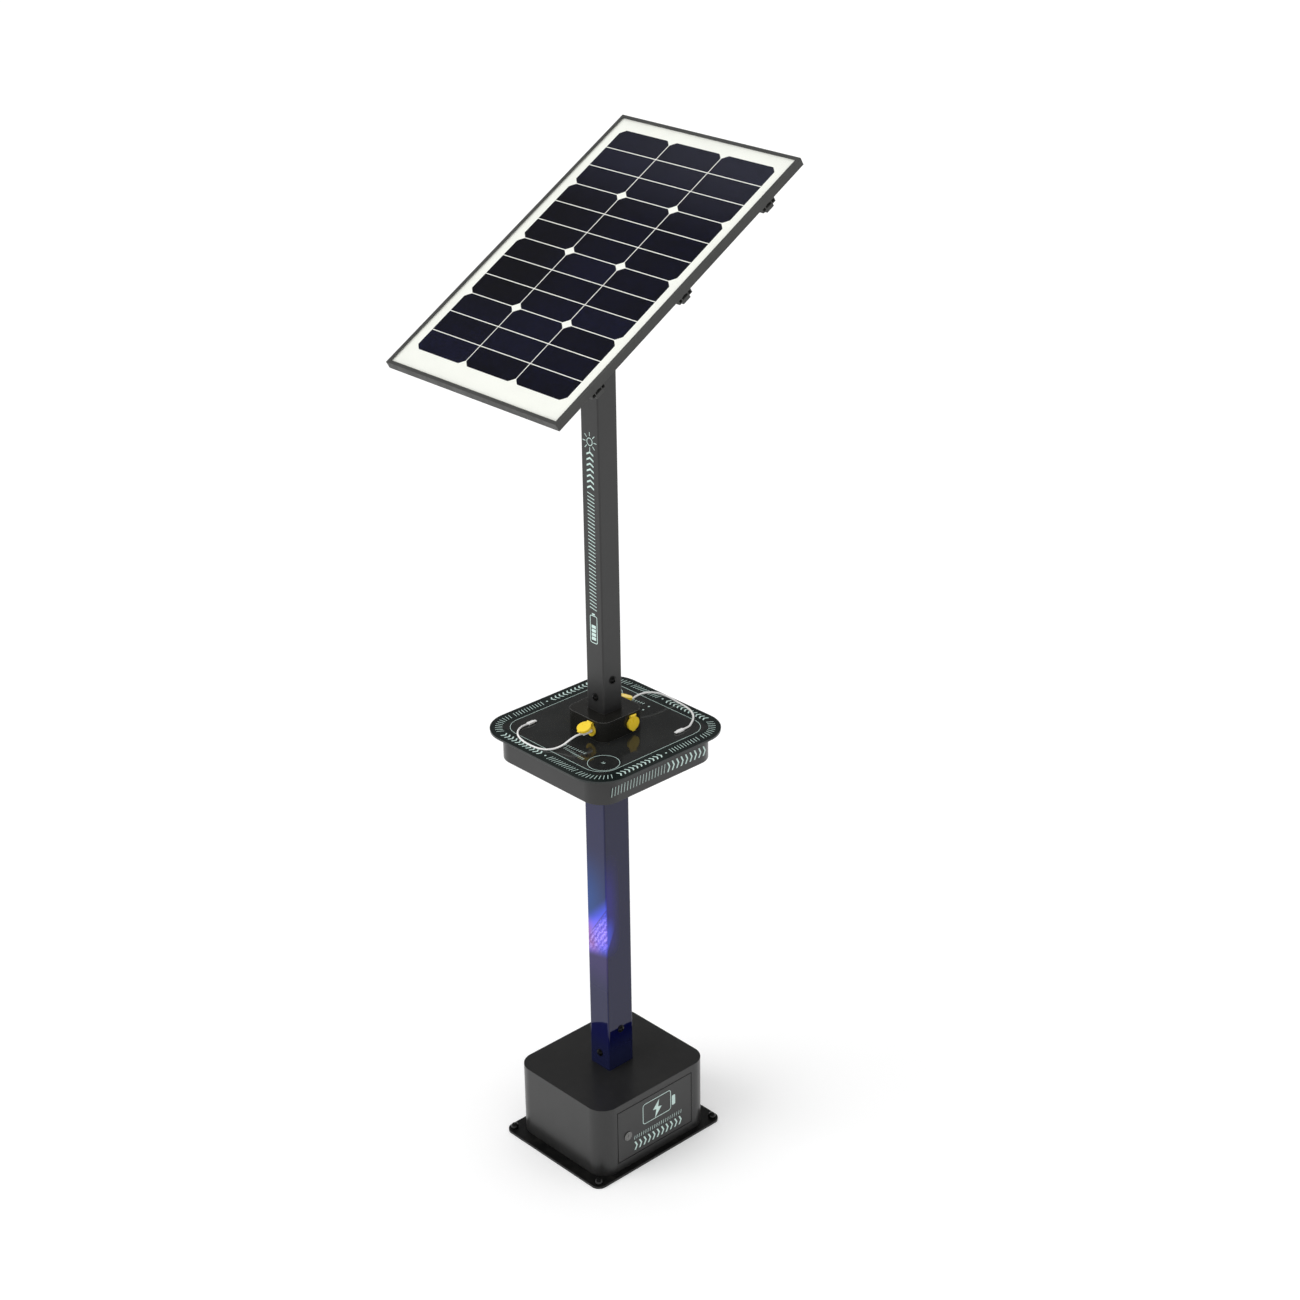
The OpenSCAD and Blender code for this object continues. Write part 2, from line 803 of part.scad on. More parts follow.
// The cam points up at rest, with the door unlocked
module lock_cam() {
    color(zinc) translate([cam_x, lock_y, lock_z]) difference() {
        rotate([90, 0, 90]) linear_extrude(cam_t) {
            circle(d = cam_w);
            translate([-cam_w / 2, 0]) square([cam_w, cam_l]);
        }
        rod_x(cam_stud_d + 2 * fixed_gap, -over, cam_t + 2 * over);
    }
}

// The stub stands on the base plate and reaches up into the lower pole
module base_stub() {
    color(plate_black) difference() {
        translate([0, 0, plate_t])
            tube(stub_w, stub_d, stub_wall, box_top + stub_reach - plate_t, stub_edge_r);
        lower_bores();
    }
}

module battery() {
    color(battery_blue) translate([battery_x, 0, plate_t]) {
        translate([-battery_w / 2, -battery_l / 2, 0]) cube([battery_w, battery_l, battery_h - lid_h]);
        translate([-battery_w / 2 + lid_inset, -battery_l / 2 + lid_inset, battery_h - lid_h])
            cube([battery_w - 2 * lid_inset, battery_l - 2 * lid_inset, lid_h]);
        for (s = [-1, 1])
            translate([battery_w / 4, s * (battery_l / 2 - terminal_d), battery_h - over])
                cylinder(d = terminal_d, h = terminal_h + over);
    }
}

module battery_strap() {
    inner = battery_l / 2 + seat_gap;
    color(zinc) translate([battery_x - strap_w / 2, 0, plate_t]) {
        translate([0, -inner - strap_t, battery_h]) cube([strap_w, 2 * (inner + strap_t), strap_t]);
        for (s = [-1, 1]) translate([0, s * (inner + strap_t / 2), 0]) {
            translate([0, -strap_t / 2, 0]) cube([strap_w, strap_t, battery_h]);
            translate([0, s > 0 ? -strap_t / 2 : strap_t / 2 - strap_foot, 0])
                cube([strap_w, strap_foot, strap_t]);
        }
    }
}

module charge_controller() {
    fins = floor((controller_h - fin_t) / fin_pitch);
    low = [controller_x - controller_w / 2, box_d / 2 - sheet_t - controller_t, plate_t + controller_z];
    color(case_grey) translate(low) {
        cube([controller_w, controller_t - fin_h, controller_h]);
        for (i = [0:fins])
            translate([0, controller_t - fin_h, i * fin_pitch]) cube([controller_w, fin_h, fin_t]);
    }
}

module fuse_block() {
    color(case_grey) translate([fuse_x, -box_d / 2 + sheet_t, plate_t + fuse_z]) {
        translate([-fuse_w / 2, 0, 0]) cube([fuse_w, fuse_t * 2 / 3, fuse_h]);
        translate([-fuse_w / 3, fuse_t * 2 / 3, fuse_h / 4]) cube([fuse_w * 2 / 3, fuse_t / 3, fuse_h / 2]);
    }
}

module lower_pole() {
    color(navy_paint) difference() {
        translate([0, 0, box_top]) tube(lower_w, lower_d, lower_wall, lower_l, pole_edge_r);
        lower_bores();
    }
}

module lower_pole_bolts() {
    color(rubber_black) {
        side_bolt(box_top + lower_bolt_high) cross_bolt(lower_w);
        front_bolt(box_top + lower_bolt_low) cross_bolt(lower_d);
    }
}

module upper_pole_bolts() {
    color(rubber_black) {
        side_bolt(tray_top + upper_bolt_high) cross_bolt(upper_w);
        front_bolt(tray_top + upper_bolt_low) cross_bolt(upper_w);
    }
}

module pole_bolt_nuts() {
    color(rubber_black) {
        side_bolt(box_top + lower_bolt_high) cross_nut(lower_w);
        front_bolt(box_top + lower_bolt_low) cross_nut(lower_d);
        side_bolt(tray_top + upper_bolt_high) cross_nut(upper_w);
        front_bolt(tray_top + upper_bolt_low) cross_nut(upper_w);
    }
}

// The flange under the tray top, with the stub of the upper pole welded on it
module middle_stub() {
    color(plate_black) difference() {
        union() {
            translate([0, 0, flange_under])
                linear_extrude(flange_t) rounded_rect(flange_w, flange_w, pole_edge_r);
            translate([0, 0, tray_under])
                tube(mid_w, mid_w, stub_wall, tray_t + stub_reach, stub_edge_r);
        }
        translate([0, 0, flange_under - over]) cylinder(d = flange_hole_d, h = flange_t + 2 * over);
        upper_bores();
    }
}

module upper_pole() {
    color(black_paint) difference() {
        translate([0, 0, tray_top]) tube(upper_w, upper_w, upper_wall, upper_l, pole_edge_r);
        upper_bores();
    }
}

module tray_top_plate() {
    color(gloss_black) difference() {
        translate([0, 0, tray_under]) linear_extrude(tray_t) rounded_rect(tray_w, tray_w, tray_r);
        translate([0, 0, tray_under - over])
            linear_extrude(tray_t + 2 * over)
                rounded_rect(mid_w + 2 * slip, mid_w + 2 * slip, stub_edge_r);
    }
}

module at_cover_screws() {
    edge = skirt_w / 2 - skirt_wall - rim_w / 2;
    for (a = [0:90:270], s = [-1, 1]) rotate([0, 0, a]) translate([edge, s * screw_spread, 0]) children();
}

// A slice of the skirt's inside, drawn in by g from the skirt's outer face
module skirt_cut(g, z, h) {
    translate([0, 0, z]) linear_extrude(h) rounded_rect(skirt_w - 2 * g, skirt_w - 2 * g, skirt_r - g);
}

module tray_housing() {
    inner = skirt_bottom + cover_plate_t;
    color(black_paint) difference() {
        skirt_cut(0, skirt_bottom, skirt_h);
        skirt_cut(skirt_wall, skirt_bottom - over, cover_plate_t + over);
        skirt_cut(skirt_wall, inner + rim_t, skirt_h - cover_plate_t - 2 * rim_t);
        skirt_cut(skirt_wall + rim_w, skirt_bottom, skirt_h + over);
        at_cover_screws() translate([0, 0, inner - over])
            cylinder(d = screw_d + 2 * fixed_gap, h = rim_t + 2 * over);
    }
}

module tray_bottom_cover() {
    color(black_paint) difference() {
        skirt_cut(skirt_wall + slip, skirt_bottom, cover_plate_t);
        translate([0, 0, skirt_bottom - over])
            linear_extrude(cover_plate_t + 2 * over)
                rounded_rect(lower_w + 2 * pole_gap, lower_d + 2 * pole_gap, pole_edge_r + pole_gap);
        at_cover_screws() translate([0, 0, skirt_bottom - over])
            cylinder(d = screw_d + 2 * slip, h = cover_plate_t + 2 * over);
    }
}

module cover_screws() {
    color(zinc) at_cover_screws() translate([0, 0, skirt_bottom]) {
        mirror([0, 0, 1]) dome(screw_head_d, screw_head_h);
        cylinder(d = screw_d, h = cover_plate_t + 2 * rim_t);
    }
}

module wireless_coils() {
    color(case_grey) for (s = [-1, 1])
        translate([s * coil_x, -s * coil_y, tray_under - coil_t]) {
            cylinder(d = coil_d, h = coil_t - ferrite_t);
            difference() {
                cylinder(d = coil_d - 2 * ferrite_t, h = coil_t);
                translate([0, 0, coil_t - ferrite_t])
                    cylinder(d = coil_d * ferrite_hole_share, h = ferrite_t + over);
            }
        }
}

module usb_supply() {
    color(case_grey) translate([-supply_x, -supply_y, tray_under - supply_h]) {
        translate([-supply_w / 2, -supply_d / 2, 0]) cube([supply_w, supply_d, supply_h]);
        translate([-supply_w / 2 + supply_foot, -supply_d / 2 - supply_foot, supply_h - supply_foot_t])
            cube([supply_w - 2 * supply_foot, supply_d + 2 * supply_foot, supply_foot_t]);
    }
}

// Places a port on the side that a quarter turns i name: 0 right, 1 back, 2 left, 3 front
module on_side(i) {
    rotate([0, 0, 90 * i]) translate([block_w / 2, port_shift, tray_top + port_rise]) children();
}

module port_block() {
    color(black_paint) difference() {
        translate([0, 0, tray_top]) linear_extrude(block_h) rounded_rect(block_w, block_w, block_r);
        translate([0, 0, tray_top - over])
            linear_extrude(block_h - block_wall + over)
                rounded_rect(block_w - 2 * block_wall, block_w - 2 * block_wall, block_r - block_wall);
        translate([0, 0, tray_top + block_h - block_wall - over])
            linear_extrude(block_wall + 2 * over)
                rounded_rect(upper_w + 2 * slip, upper_w + 2 * slip, pole_edge_r);
        for (i = [0:3]) on_side(i) rod_x(port_body_d + 2 * slip, -block_wall - over, block_wall + 2 * over);
    }
}

// A cylinder along the cover's hinge axis, between y0 and y1
module on_hinge(d, y0, y1) {
    translate([hinge_set, y0, hinge_rise]) rotate([-90, 0, 0]) cylinder(d = d, h = y1 - y0);
}

module port(i) {
    lug_in = knuckle_w / 2 + slip;
    color(port_yellow) on_side(i) difference() {
        union() {
            rod_x(port_d, 0, collar_t);
            rod_x(port_body_d, -port_body_l, port_body_l + over);
            for (y = [lug_in, -lug_in - lug_w]) {
                on_hinge(knuckle_d, y, y + lug_w);
                translate([0, y, hinge_rise - lug_web]) cube([collar_t, lug_w, lug_web]);
            }
        }
        translate([collar_t - slot_l, -slot_w / 2, -slot_h / 2]) cube([slot_l + over, slot_w, slot_h]);
        on_hinge(cover_pin_d + 2 * fixed_gap, -lug_span - over, lug_span + over);
    }
}

module cover_pins() {
    color(zinc) for (i = [0:3]) on_side(i) on_hinge(cover_pin_d, -lug_span, lug_span);
}

// A hinged cover, swung up by the given angle
module port_cover(i, angle) {
    room = lug_span + lug_room;
    knuckle_low = hinge_rise - knuckle_d / 2 - 2 * slip;
    color(port_yellow) on_side(i)
        translate([hinge_set, 0, hinge_rise]) rotate([0, -angle, 0]) translate([-hinge_set, 0, -hinge_rise])
            difference() {
                union() {
                    difference() {
                        union() {
                            rod_x(cover_d, rim_start, cover_seat + cover_t - rim_start);
                            translate([cover_seat, -tab_w / 2, -cover_d / 2 - tab_reach])
                                cube([cover_t, tab_w, cover_d / 2]);
                        }
                        rod_x(cover_d - 2 * cover_rim, rim_start - over, cover_seat - rim_start + over);
                        // Room for the lugs on the collar
                        translate([rim_start - over, -room, knuckle_low])
                            cube([cover_seat + cover_t + over, 2 * room, cover_d / 2]);
                        // Room for the rim's path past the collar
                        translate([rim_start - over, -cover_d, rim_top])
                            cube([cover_seat - rim_start + over, 2 * cover_d, cover_d]);
                    }
                    on_hinge(knuckle_d, -knuckle_w / 2, knuckle_w / 2);
                    translate([cover_seat, -knuckle_w / 2, knuckle_low - over])
                        cube([cover_t, knuckle_w, hinge_rise - knuckle_low + over]);
                }
                on_hinge(cover_pin_d + 2 * run_gap, -knuckle_w, knuckle_w);
            }
}

// The plug in a port: metal shell, grip and strain relief
module port_plug(i) {
    color(cable_white) on_side(i) {
        translate([cover_seat - shell_l, -shell_w / 2, -shell_h / 2])
            cube([shell_l + over, shell_w, shell_h]);
        translate([cover_seat, 0, 0]) rotate([90, 0, 90])
            linear_extrude(plug_l) rounded_rect(plug_w, plug_h, grip_r);
        translate([cover_seat + plug_l, 0, 0]) rotate([0, 90, 0])
            cylinder(d1 = relief_d, d2 = relief_end_d, h = relief_l);
    }
}

// The plug at the phone's end of a cable, turned the given angle from +X
module phone_plug(route, turn) {
    color(cable_white) translate(route[len(route) - 1]) rotate([0, 0, turn]) {
        rotate([0, 90, 0]) cylinder(d1 = phone_relief_end_d, d2 = phone_relief_d, h = phone_relief_l);
        translate([phone_relief_l, 0, 0]) rotate([90, 0, 90])
            linear_extrude(phone_plug_l) rounded_rect(phone_plug_w, phone_plug_h, phone_grip_r);
        translate([phone_relief_l + phone_plug_l, 0, 0]) rotate([90, 0, 90])
            linear_extrude(tongue_l) rounded_rect(tongue_w, tongue_h, tongue_r);
    }
}

function unit(v) = v / norm(v);
// A smooth curve through the points of a route, with route_steps steps from each to the next
function curve_point(a, b, c, d, t) =
    0.5 * (2 * b + (c - a) * t + (2 * a - 5 * b + 4 * c - d) * t * t + (3 * b - a - 3 * c + d) * t * t * t);
function curve(p) = let (n = len(p)) [
    for (i = [0:n - 2], k = [0:route_steps - 1])
        curve_point(
            i == 0 ? 2 * p[0] - p[1] : p[i - 1], p[i], p[i + 1],
            i == n - 2 ? 2 * p[n - 1] - p[n - 2] : p[i + 2], k / route_steps
        ),
    p[n - 1]
];
// One ring of the tube: a circle across the curve's direction
function ring(at, along) =
    let (s = unit(cross(along, [0, 0, 1])), u = cross(s, unit(along)))
    [
        for (k = [0:tube_sides - 1])
            at + cable_d / 2 * (cos(360 * k / tube_sides) * s + sin(360 * k / tube_sides) * u)
    ];

module cable(route) {
    c = curve(route);
    n = len(c);
    // The first and last rings are square to the plugs that they meet
    points = concat(
        ring(c[0], [0, sign(route[1].y - route[0].y), 0]),
        [for (i = [1:n - 2]) each ring(c[i], c[i + 1] - c[i - 1])],
        ring(c[n - 1], [0, sign(c[n - 1].y - c[n - 2].y), 0])
    );
    sides = [
        for (i = [0:n - 2], k = [0:tube_sides - 1])
            let (a = i * tube_sides + k, b = i * tube_sides + (k + 1) % tube_sides)
                each [[a, b, b + tube_sides], [a, b + tube_sides, a + tube_sides]]
    ];
    first = [for (k = [1:tube_sides - 2]) [0, k + 1, k]];
    last = [for (k = [1:tube_sides - 2]) let (o = (n - 1) * tube_sides) [o, o + k, o + k + 1]];
    color(cable_white) polyhedron(points = points, faces = concat(sides, first, last));
}

// Places what follows at the pivot, turned with the panel
module at_pivot() {
    translate([0, 0, pivot_z]) rotate([tilt, 0, 0]) children();
}
// Places what follows with the panel's top face at Z = 0 and its middle at the origin
module on_panel() {
    at_pivot() translate([0, panel_shift, panel_drop]) children();
}

// Section of the frame: X runs inwards from its outer face, Y up to its top face
module frame_section() {
    translate([0, -frame_h]) square([frame_t, frame_h]);
    translate([0, -frame_t]) square([lip_w, frame_t]);
    translate([0, -frame_h]) square([foot_w, frame_t]);
    translate([0, -shelf_drop - frame_t]) square([lip_w, frame_t]);
    translate([lip_w - frame_t, -frame_h]) square([frame_t, frame_h - shelf_drop]);
}

// One side of the frame along X, cut to a mitre at both ends
module frame_side(l) {
    intersection() {
        translate([-l / 2, 0, 0]) rotate([90, 0, 90]) linear_extrude(l) frame_section();
        translate([0, 0, -frame_h - over])
            linear_extrude(frame_h + 2 * over)
                polygon([[-l / 2, 0], [l / 2, 0], [l / 2 - foot_w, foot_w], [foot_w - l / 2, foot_w]]);
    }
}

module at_rails() {
    for (i = [-1:1]) translate([0, i * rail_spread, -frame_h]) children();
}
module at_frame_bolts() {
    at_rails() for (s = [-1, 1]) translate([s * (panel_w / 2 - rail_bolt_inset), 0, 0]) children();
}
module at_spine_bolts() {
    at_rails() for (s = [-1, 1]) translate([s * spine_bolt_x, 0, -rail_total]) children();
}

// The frame's two short sides, at the low and the high end, and its two long sides
module frame_ends() {
    color(frame_grey) on_panel()
        for (s = [0, 180]) rotate([0, 0, s]) translate([0, -panel_l / 2, 0]) frame_side(panel_w);
}

module frame_sides() {
    color(frame_grey) on_panel() difference() {
        for (s = [90, -90]) rotate([0, 0, s]) translate([0, -panel_w / 2, 0]) frame_side(panel_l);
        at_frame_bolts() translate([0, 0, -over]) cylinder(d = stud_d + bolt_play, h = frame_t + 2 * over);
    }
}

module frame_corner_keys() {
    inset = frame_t + key_play;
    leg = lip_w - 2 * frame_t - 2 * key_play;
    h = frame_h - shelf_drop - 2 * frame_t - 2 * key_play;
    color(bare_alu) on_panel() for (sx = [-1, 1], sy = [-1, 1])
        translate([sx * (panel_w / 2 - inset), sy * (panel_l / 2 - inset), -frame_h + frame_t + key_play])
            linear_extrude(h) polygon([
                [0, 0], [-sx * key_l, 0], [-sx * key_l, -sy * leg],
                [-sx * leg, -sy * leg], [-sx * leg, -sy * key_l], [0, -sy * key_l]
            ]);
}

module laminate(z, h) {
    edge = 2 * (frame_t + glass_edge);
    translate([edge / 2 - panel_w / 2, edge / 2 - panel_l / 2, z])
        cube([panel_w - edge, panel_l - edge, h]);
}

module panel_glass() {
    color(glass_tint) on_panel() laminate(-frame_t - glass_seat - glass_t, glass_t);
}

// All strips, h high from Z = 0: each cell is a square with its corners rounded by the wafer
module strips(h) {
    field_w = columns * (cell_w + cell_gap);
    field_l = cell_rows * group_l;
    for (c = [0:columns - 1], r = [0:cell_rows - 1], k = [0:strips_each - 1])
        translate([
            (c + 0.5) * field_w / columns - field_w / 2,
            field_shift + (r + 0.5) * group_l - field_l / 2,
            0
        ])
            linear_extrude(h) intersection() {
                circle(wafer_r);
                translate([0, (k + 0.5) * (strip_l + cell_gap) - group_l / 2])
                    square([cell_w, strip_l], center = true);
            }
}

module solar_cells() {
    color(cell_navy) on_panel()
        translate([0, 0, -frame_t - glass_seat - glass_t - cell_t]) strips(cell_t);
}

module panel_backsheet() {
    color(sheet_white) on_panel() difference() {
        laminate(-shelf_drop, back_t);
        translate([0, 0, -shelf_drop + back_t - cell_t]) strips(cell_t + over);
    }
}

module junction_box() {
    color(rubber_black) on_panel() translate([0, jbox_shift, -shelf_drop - jbox_t]) {
        translate([0, 0, jbox_lid_t])
            linear_extrude(jbox_t - jbox_lid_t) rounded_rect(jbox_w, jbox_l, jbox_lid_inset);
        linear_extrude(jbox_t)
            rounded_rect(jbox_w - 2 * jbox_lid_inset, jbox_l - 2 * jbox_lid_inset, jbox_lid_inset);
        for (s = [-1, 1])
            translate([s * gland_spread, -jbox_l / 2 + over, jbox_t / 2])
                rotate([90, 0, 0]) cylinder(d = jbox_t * gland_share, h = gland_l + over);
    }
}

// Section of a rail: X across it, Y up to the face under the frame
module rail_section() {
    side_w = (rail_w - rail_channel_w) / 2;
    difference() {
        union() {
            translate([-rail_w / 2, -rail_h]) square([rail_w, rail_h]);
            translate([-rail_foot_w / 2, -rail_total]) square([rail_foot_w, rail_foot_h + over]);
        }
        translate([-rail_slot_w / 2, -rail_wall - over]) square([rail_slot_w, rail_wall + 2 * over]);
        translate([-rail_channel_w / 2, -rail_wall - rail_channel_h])
            square([rail_channel_w, rail_channel_h]);
        for (s = [-1, 1])
            translate([s * (rail_w + rail_channel_w) / 4, -rail_h / 2])
                square([side_w - 2 * rail_wall, rail_h - 2 * rail_wall], center = true);
    }
}

module cross_rails() {
    l = panel_w - 2 * rail_end;
    color(frame_grey) on_panel() difference() {
        at_rails() translate([-l / 2, 0, 0]) rotate([90, 0, 90]) linear_extrude(l) rail_section();
        at_spine_bolts() translate([0, 0, -over]) cylinder(d = stud_d + bolt_play, h = rail_total);
    }
}

// The spine: a flat tube under the rails, bolted to the cradle
module at_cradle_bolts() {
    for (sx = [-1, 1], sy = [-1, 1]) translate([sx * spine_bolt_x, sy * cradle_bolt_y, 0]) children();
}
module panel_spine() {
    hole = stud_d + bolt_play;
    color(frame_grey) difference() {
        on_panel() translate([0, spine_l / 2, -frame_h - rail_total - spine_h / 2])
            rotate([90, 0, 0]) linear_extrude(spine_l) difference() {
                square([spine_w, spine_h], center = true);
                square([spine_w - 2 * spine_wall, spine_h - 2 * spine_wall], center = true);
            }
        on_panel() at_spine_bolts() translate([0, 0, -spine_wall - over])
            cylinder(d = hole, h = spine_wall + 2 * over);
        at_pivot() translate([0, 0, cradle_drop + cradle_t - over])
            at_cradle_bolts() cylinder(d = hole, h = spine_wall + 2 * over);
    }
}

// A bolt with its head on Z = 0 and a nut the given grip above it
module stud(grip) {
    translate([0, 0, -stud_nut_h]) hex(stud_nut_w, stud_nut_h);
    translate([0, 0, -over]) cylinder(d = stud_d, h = grip + stud_nut_h + 2 * over);
    translate([0, 0, grip]) hex(stud_nut_w, stud_nut_h);
}

module panel_bolts() {
    channel = rail_wall + rail_channel_h;
    color(zinc) {
        // Rails to frame: heads in the rail's channel, nuts on the frame's foot
        on_panel() at_frame_bolts() translate([0, 0, -rail_wall]) stud(rail_wall + frame_t);
        // Rails to spine: heads in the rail's channel, nuts inside the spine
        on_panel() at_spine_bolts() translate([0, 0, rail_total - channel])
            mirror([0, 0, 1]) stud(rail_total - channel + spine_wall);
        // Cradle to spine: heads under the cradle, nuts inside the spine
        at_pivot() translate([0, 0, cradle_drop]) at_cradle_bolts() stud(cradle_t + spine_wall);
    }
}

// An ear of the cradle, in the plane across the pivot: Y up the slope, Z away from the pole
module cradle_ear() {
    difference() {
        union() {
            translate([-slot_r - clamp_edge, 0])
                square([slot_r + 2 * clamp_edge + ear_edge, cradle_drop + over]);
            circle(clamp_edge + ear_edge);
            translate([-slot_r, -clamp_edge]) square([slot_r, 2 * clamp_edge]);
            translate([-slot_r, 0]) circle(clamp_edge);
        }
        circle(d = pivot_d + 2 * run_gap);
        translate([-slot_r, 0]) circle(d = clamp_d + 2 * fixed_gap);
    }
}

// Stands a drawing in the plane across the pivot, from x over its thickness
module ear_plate(x) {
    translate([x, 0, 0]) rotate([90, 0, 90]) linear_extrude(ear_t) children();
}

module tilt_cradle() {
    color(frame_grey) at_pivot() difference() {
        union() {
            translate([-cradle_out, -cradle_l / 2, cradle_drop]) cube([2 * cradle_out, cradle_l, cradle_t]);
            ear_plate(cradle_in) cradle_ear();
            ear_plate(-cradle_out) cradle_ear();
        }
        translate([0, 0, cradle_drop - over])
            at_cradle_bolts() cylinder(d = stud_d + bolt_play, h = cradle_t + 2 * over);
    }
}

// The arc in which a clamp bolt travels
module arc_slot() {
    reach = 2 * slot_r;
    from = 180 + tilt - tilt_swing;
    to = 180 + tilt + tilt_swing;
    intersection() {
        difference() {
            circle(slot_r + slot_half);
            circle(slot_r - slot_half);
        }
        polygon([[0, 0], reach * [cos(from), sin(from)], reach * [cos(to), sin(to)]]);
    }
    for (a = [from, to]) translate(slot_r * [cos(a), sin(a)]) circle(slot_half);
}

module head_ear() {
    difference() {
        union() {
            circle(ear_r);
            translate([-upper_w / 2, -pivot_rise]) square([upper_w, pivot_rise]);
        }
        circle(d = pivot_d + 2 * run_gap);
        arc_slot();
    }
}

module pole_head() {
    color(black_paint) translate([0, 0, pivot_z]) {
        difference() {
            union() {
                ear_plate(ear_in) head_ear();
                ear_plate(-ear_in - ear_t) head_ear();
                translate([-upper_w / 2, -upper_w / 2, -pivot_rise]) cube([upper_w, upper_w, head_t]);
            }
            translate([0, 0, -pivot_rise - over]) cylinder(d = head_hole_d, h = head_t + 2 * over);
        }
    }
}

module pivot_bolt() {
    head = cradle_out + ear_gap;
    nut_side = head + pivot_head_h + over;
    color(zinc) translate([0, 0, pivot_z]) {
        rod_x(pivot_d, -nut_side, nut_side + head + over);
        translate([head, 0, 0]) rotate([0, 90, 0]) hex(pivot_d * pivot_head_share, pivot_head_h);
    }
}

module pivot_nut() {
    far = cradle_out + ear_gap + pivot_head_h;
    color(zinc) translate([-far, 0, pivot_z]) rotate([0, 90, 0]) difference() {
        hex(pivot_d * pivot_head_share, pivot_head_h);
        translate([0, 0, -over]) cylinder(d = pivot_d + 2 * fixed_gap, h = pivot_head_h + 2 * over);
    }
}

// Each clamp bolt has its head outside the cradle and its nut inside the head's ear
module clamp_bolts() {
    nut_x = ear_in - ear_gap - nut_h;
    color(zinc) at_pivot() for (s = [0, 1]) mirror([s, 0, 0]) translate([0, -slot_r, 0]) {
        translate([nut_x, 0, 0]) rotate([0, 90, 0]) hex(clamp_d * clamp_head_share, nut_h);
        rod_x(clamp_d, nut_x, cradle_out - nut_x + over);
        translate([cradle_out, 0, 0]) rotate([0, 90, 0]) hex(clamp_d * clamp_head_share, nut_h);
    }
}

base_plate();
base_housing();
door_frame();
door_seal();
anchor_caps();
base_stub();
battery();
battery_strap();
charge_controller();
fuse_block();
lower_pole();
lower_pole_bolts();
middle_stub();
upper_pole();
upper_pole_bolts();
pole_bolt_nuts();
tray_top_plate();
tray_housing();
tray_bottom_cover();
cover_screws();
wireless_coils();
usb_supply();
port_block();
port(0);  // port_right
port(1);  // port_back
port(2);  // port_left
port(3);  // port_front
cover_pins();
port_cover(0, 0);  // cover_right
port_cover(1, cover_open);  // cover_back
port_cover(2, 0);  // cover_left
port_cover(3, cover_open);  // cover_front
door_panel();
door_pivot_pins();
lock_barrel();
lock_plug();
lock_cam();
pole_head();
pivot_bolt();
pivot_nut();
frame_sides();
frame_ends();
frame_corner_keys();
panel_glass();
solar_cells();
panel_backsheet();
junction_box();
cross_rails();
panel_spine();
panel_bolts();
tilt_cradle();
clamp_bolts();
cable(front_route);  // front_cable
port_plug(3);  // front_port_plug
phone_plug(front_route, 90);  // front_phone_plug
cable(back_route);  // back_cable
port_plug(1);  // back_port_plug
phone_plug(back_route, -90);  // back_phone_plug
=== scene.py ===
import math

import bpy
import numpy as np
from mathutils import Matrix, Vector


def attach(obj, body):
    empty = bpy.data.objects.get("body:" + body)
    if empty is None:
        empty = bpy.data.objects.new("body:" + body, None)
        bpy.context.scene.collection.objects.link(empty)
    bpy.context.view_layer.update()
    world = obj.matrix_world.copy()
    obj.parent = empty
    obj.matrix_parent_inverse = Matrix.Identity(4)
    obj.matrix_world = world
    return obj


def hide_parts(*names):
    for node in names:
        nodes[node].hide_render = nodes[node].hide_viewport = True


# Solar charging station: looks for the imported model. Metres, +Z up, the front is -Y.
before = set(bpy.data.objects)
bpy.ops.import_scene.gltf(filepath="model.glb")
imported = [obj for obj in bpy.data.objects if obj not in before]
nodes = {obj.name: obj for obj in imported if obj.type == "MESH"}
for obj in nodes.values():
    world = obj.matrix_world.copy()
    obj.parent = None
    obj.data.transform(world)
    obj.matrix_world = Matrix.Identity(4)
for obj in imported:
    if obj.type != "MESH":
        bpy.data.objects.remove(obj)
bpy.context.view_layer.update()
print("frame loaded:", len(nodes), "nodes")

# Camera: angles in degrees, lens and sensor in millimetres, place and reach in metres
photoView = {
    "azimuth": 46.9649,
    "elevation": 25.4999,
    "roll": -0.7032,
    "lens": 69.43,
    "sensor": 36.0,
    "place": (3.7738, -3.3815, 3.7077),
    "reach": (0.05, 300.0),
}


def addCamera(look):
    # back points from the object to the camera; the roll turns right and up round it
    azimuth, elevation, roll = (math.radians(look[k]) for k in ("azimuth", "elevation", "roll"))
    flat = math.cos(elevation)
    back = Vector((math.sin(azimuth) * flat, -math.cos(azimuth) * flat, math.sin(elevation)))
    level = Vector((math.cos(azimuth), math.sin(azimuth), 0.0))
    above = back.cross(level)
    right = level * math.cos(roll) + above * math.sin(roll)
    up = above * math.cos(roll) - level * math.sin(roll)
    data = bpy.data.cameras.new("photoCamera")
    data.lens = look["lens"]
    data.sensor_width = look["sensor"]
    data.clip_start, data.clip_end = look["reach"]
    camera = bpy.data.objects.new("photoCamera", data)
    bpy.context.scene.collection.objects.link(camera)
    camera.matrix_world = Matrix.Translation(look["place"]) @ Matrix((right, up, back)).transposed().to_4x4()
    bpy.context.scene.camera = camera


addCamera(photoView)


# Mesh tools: a shape is a pair, its points as an array and its faces as lists of indices
def joined(shapes):
    # Puts shapes one after the other, each one's indices raised by the points before it
    points, faces, count = [], [], 0
    for shapePoints, shapeFaces in shapes:
        points.append(shapePoints)
        faces += [[count + i for i in face] for face in shapeFaces]
        count += len(shapePoints)
    return np.vstack(points), faces


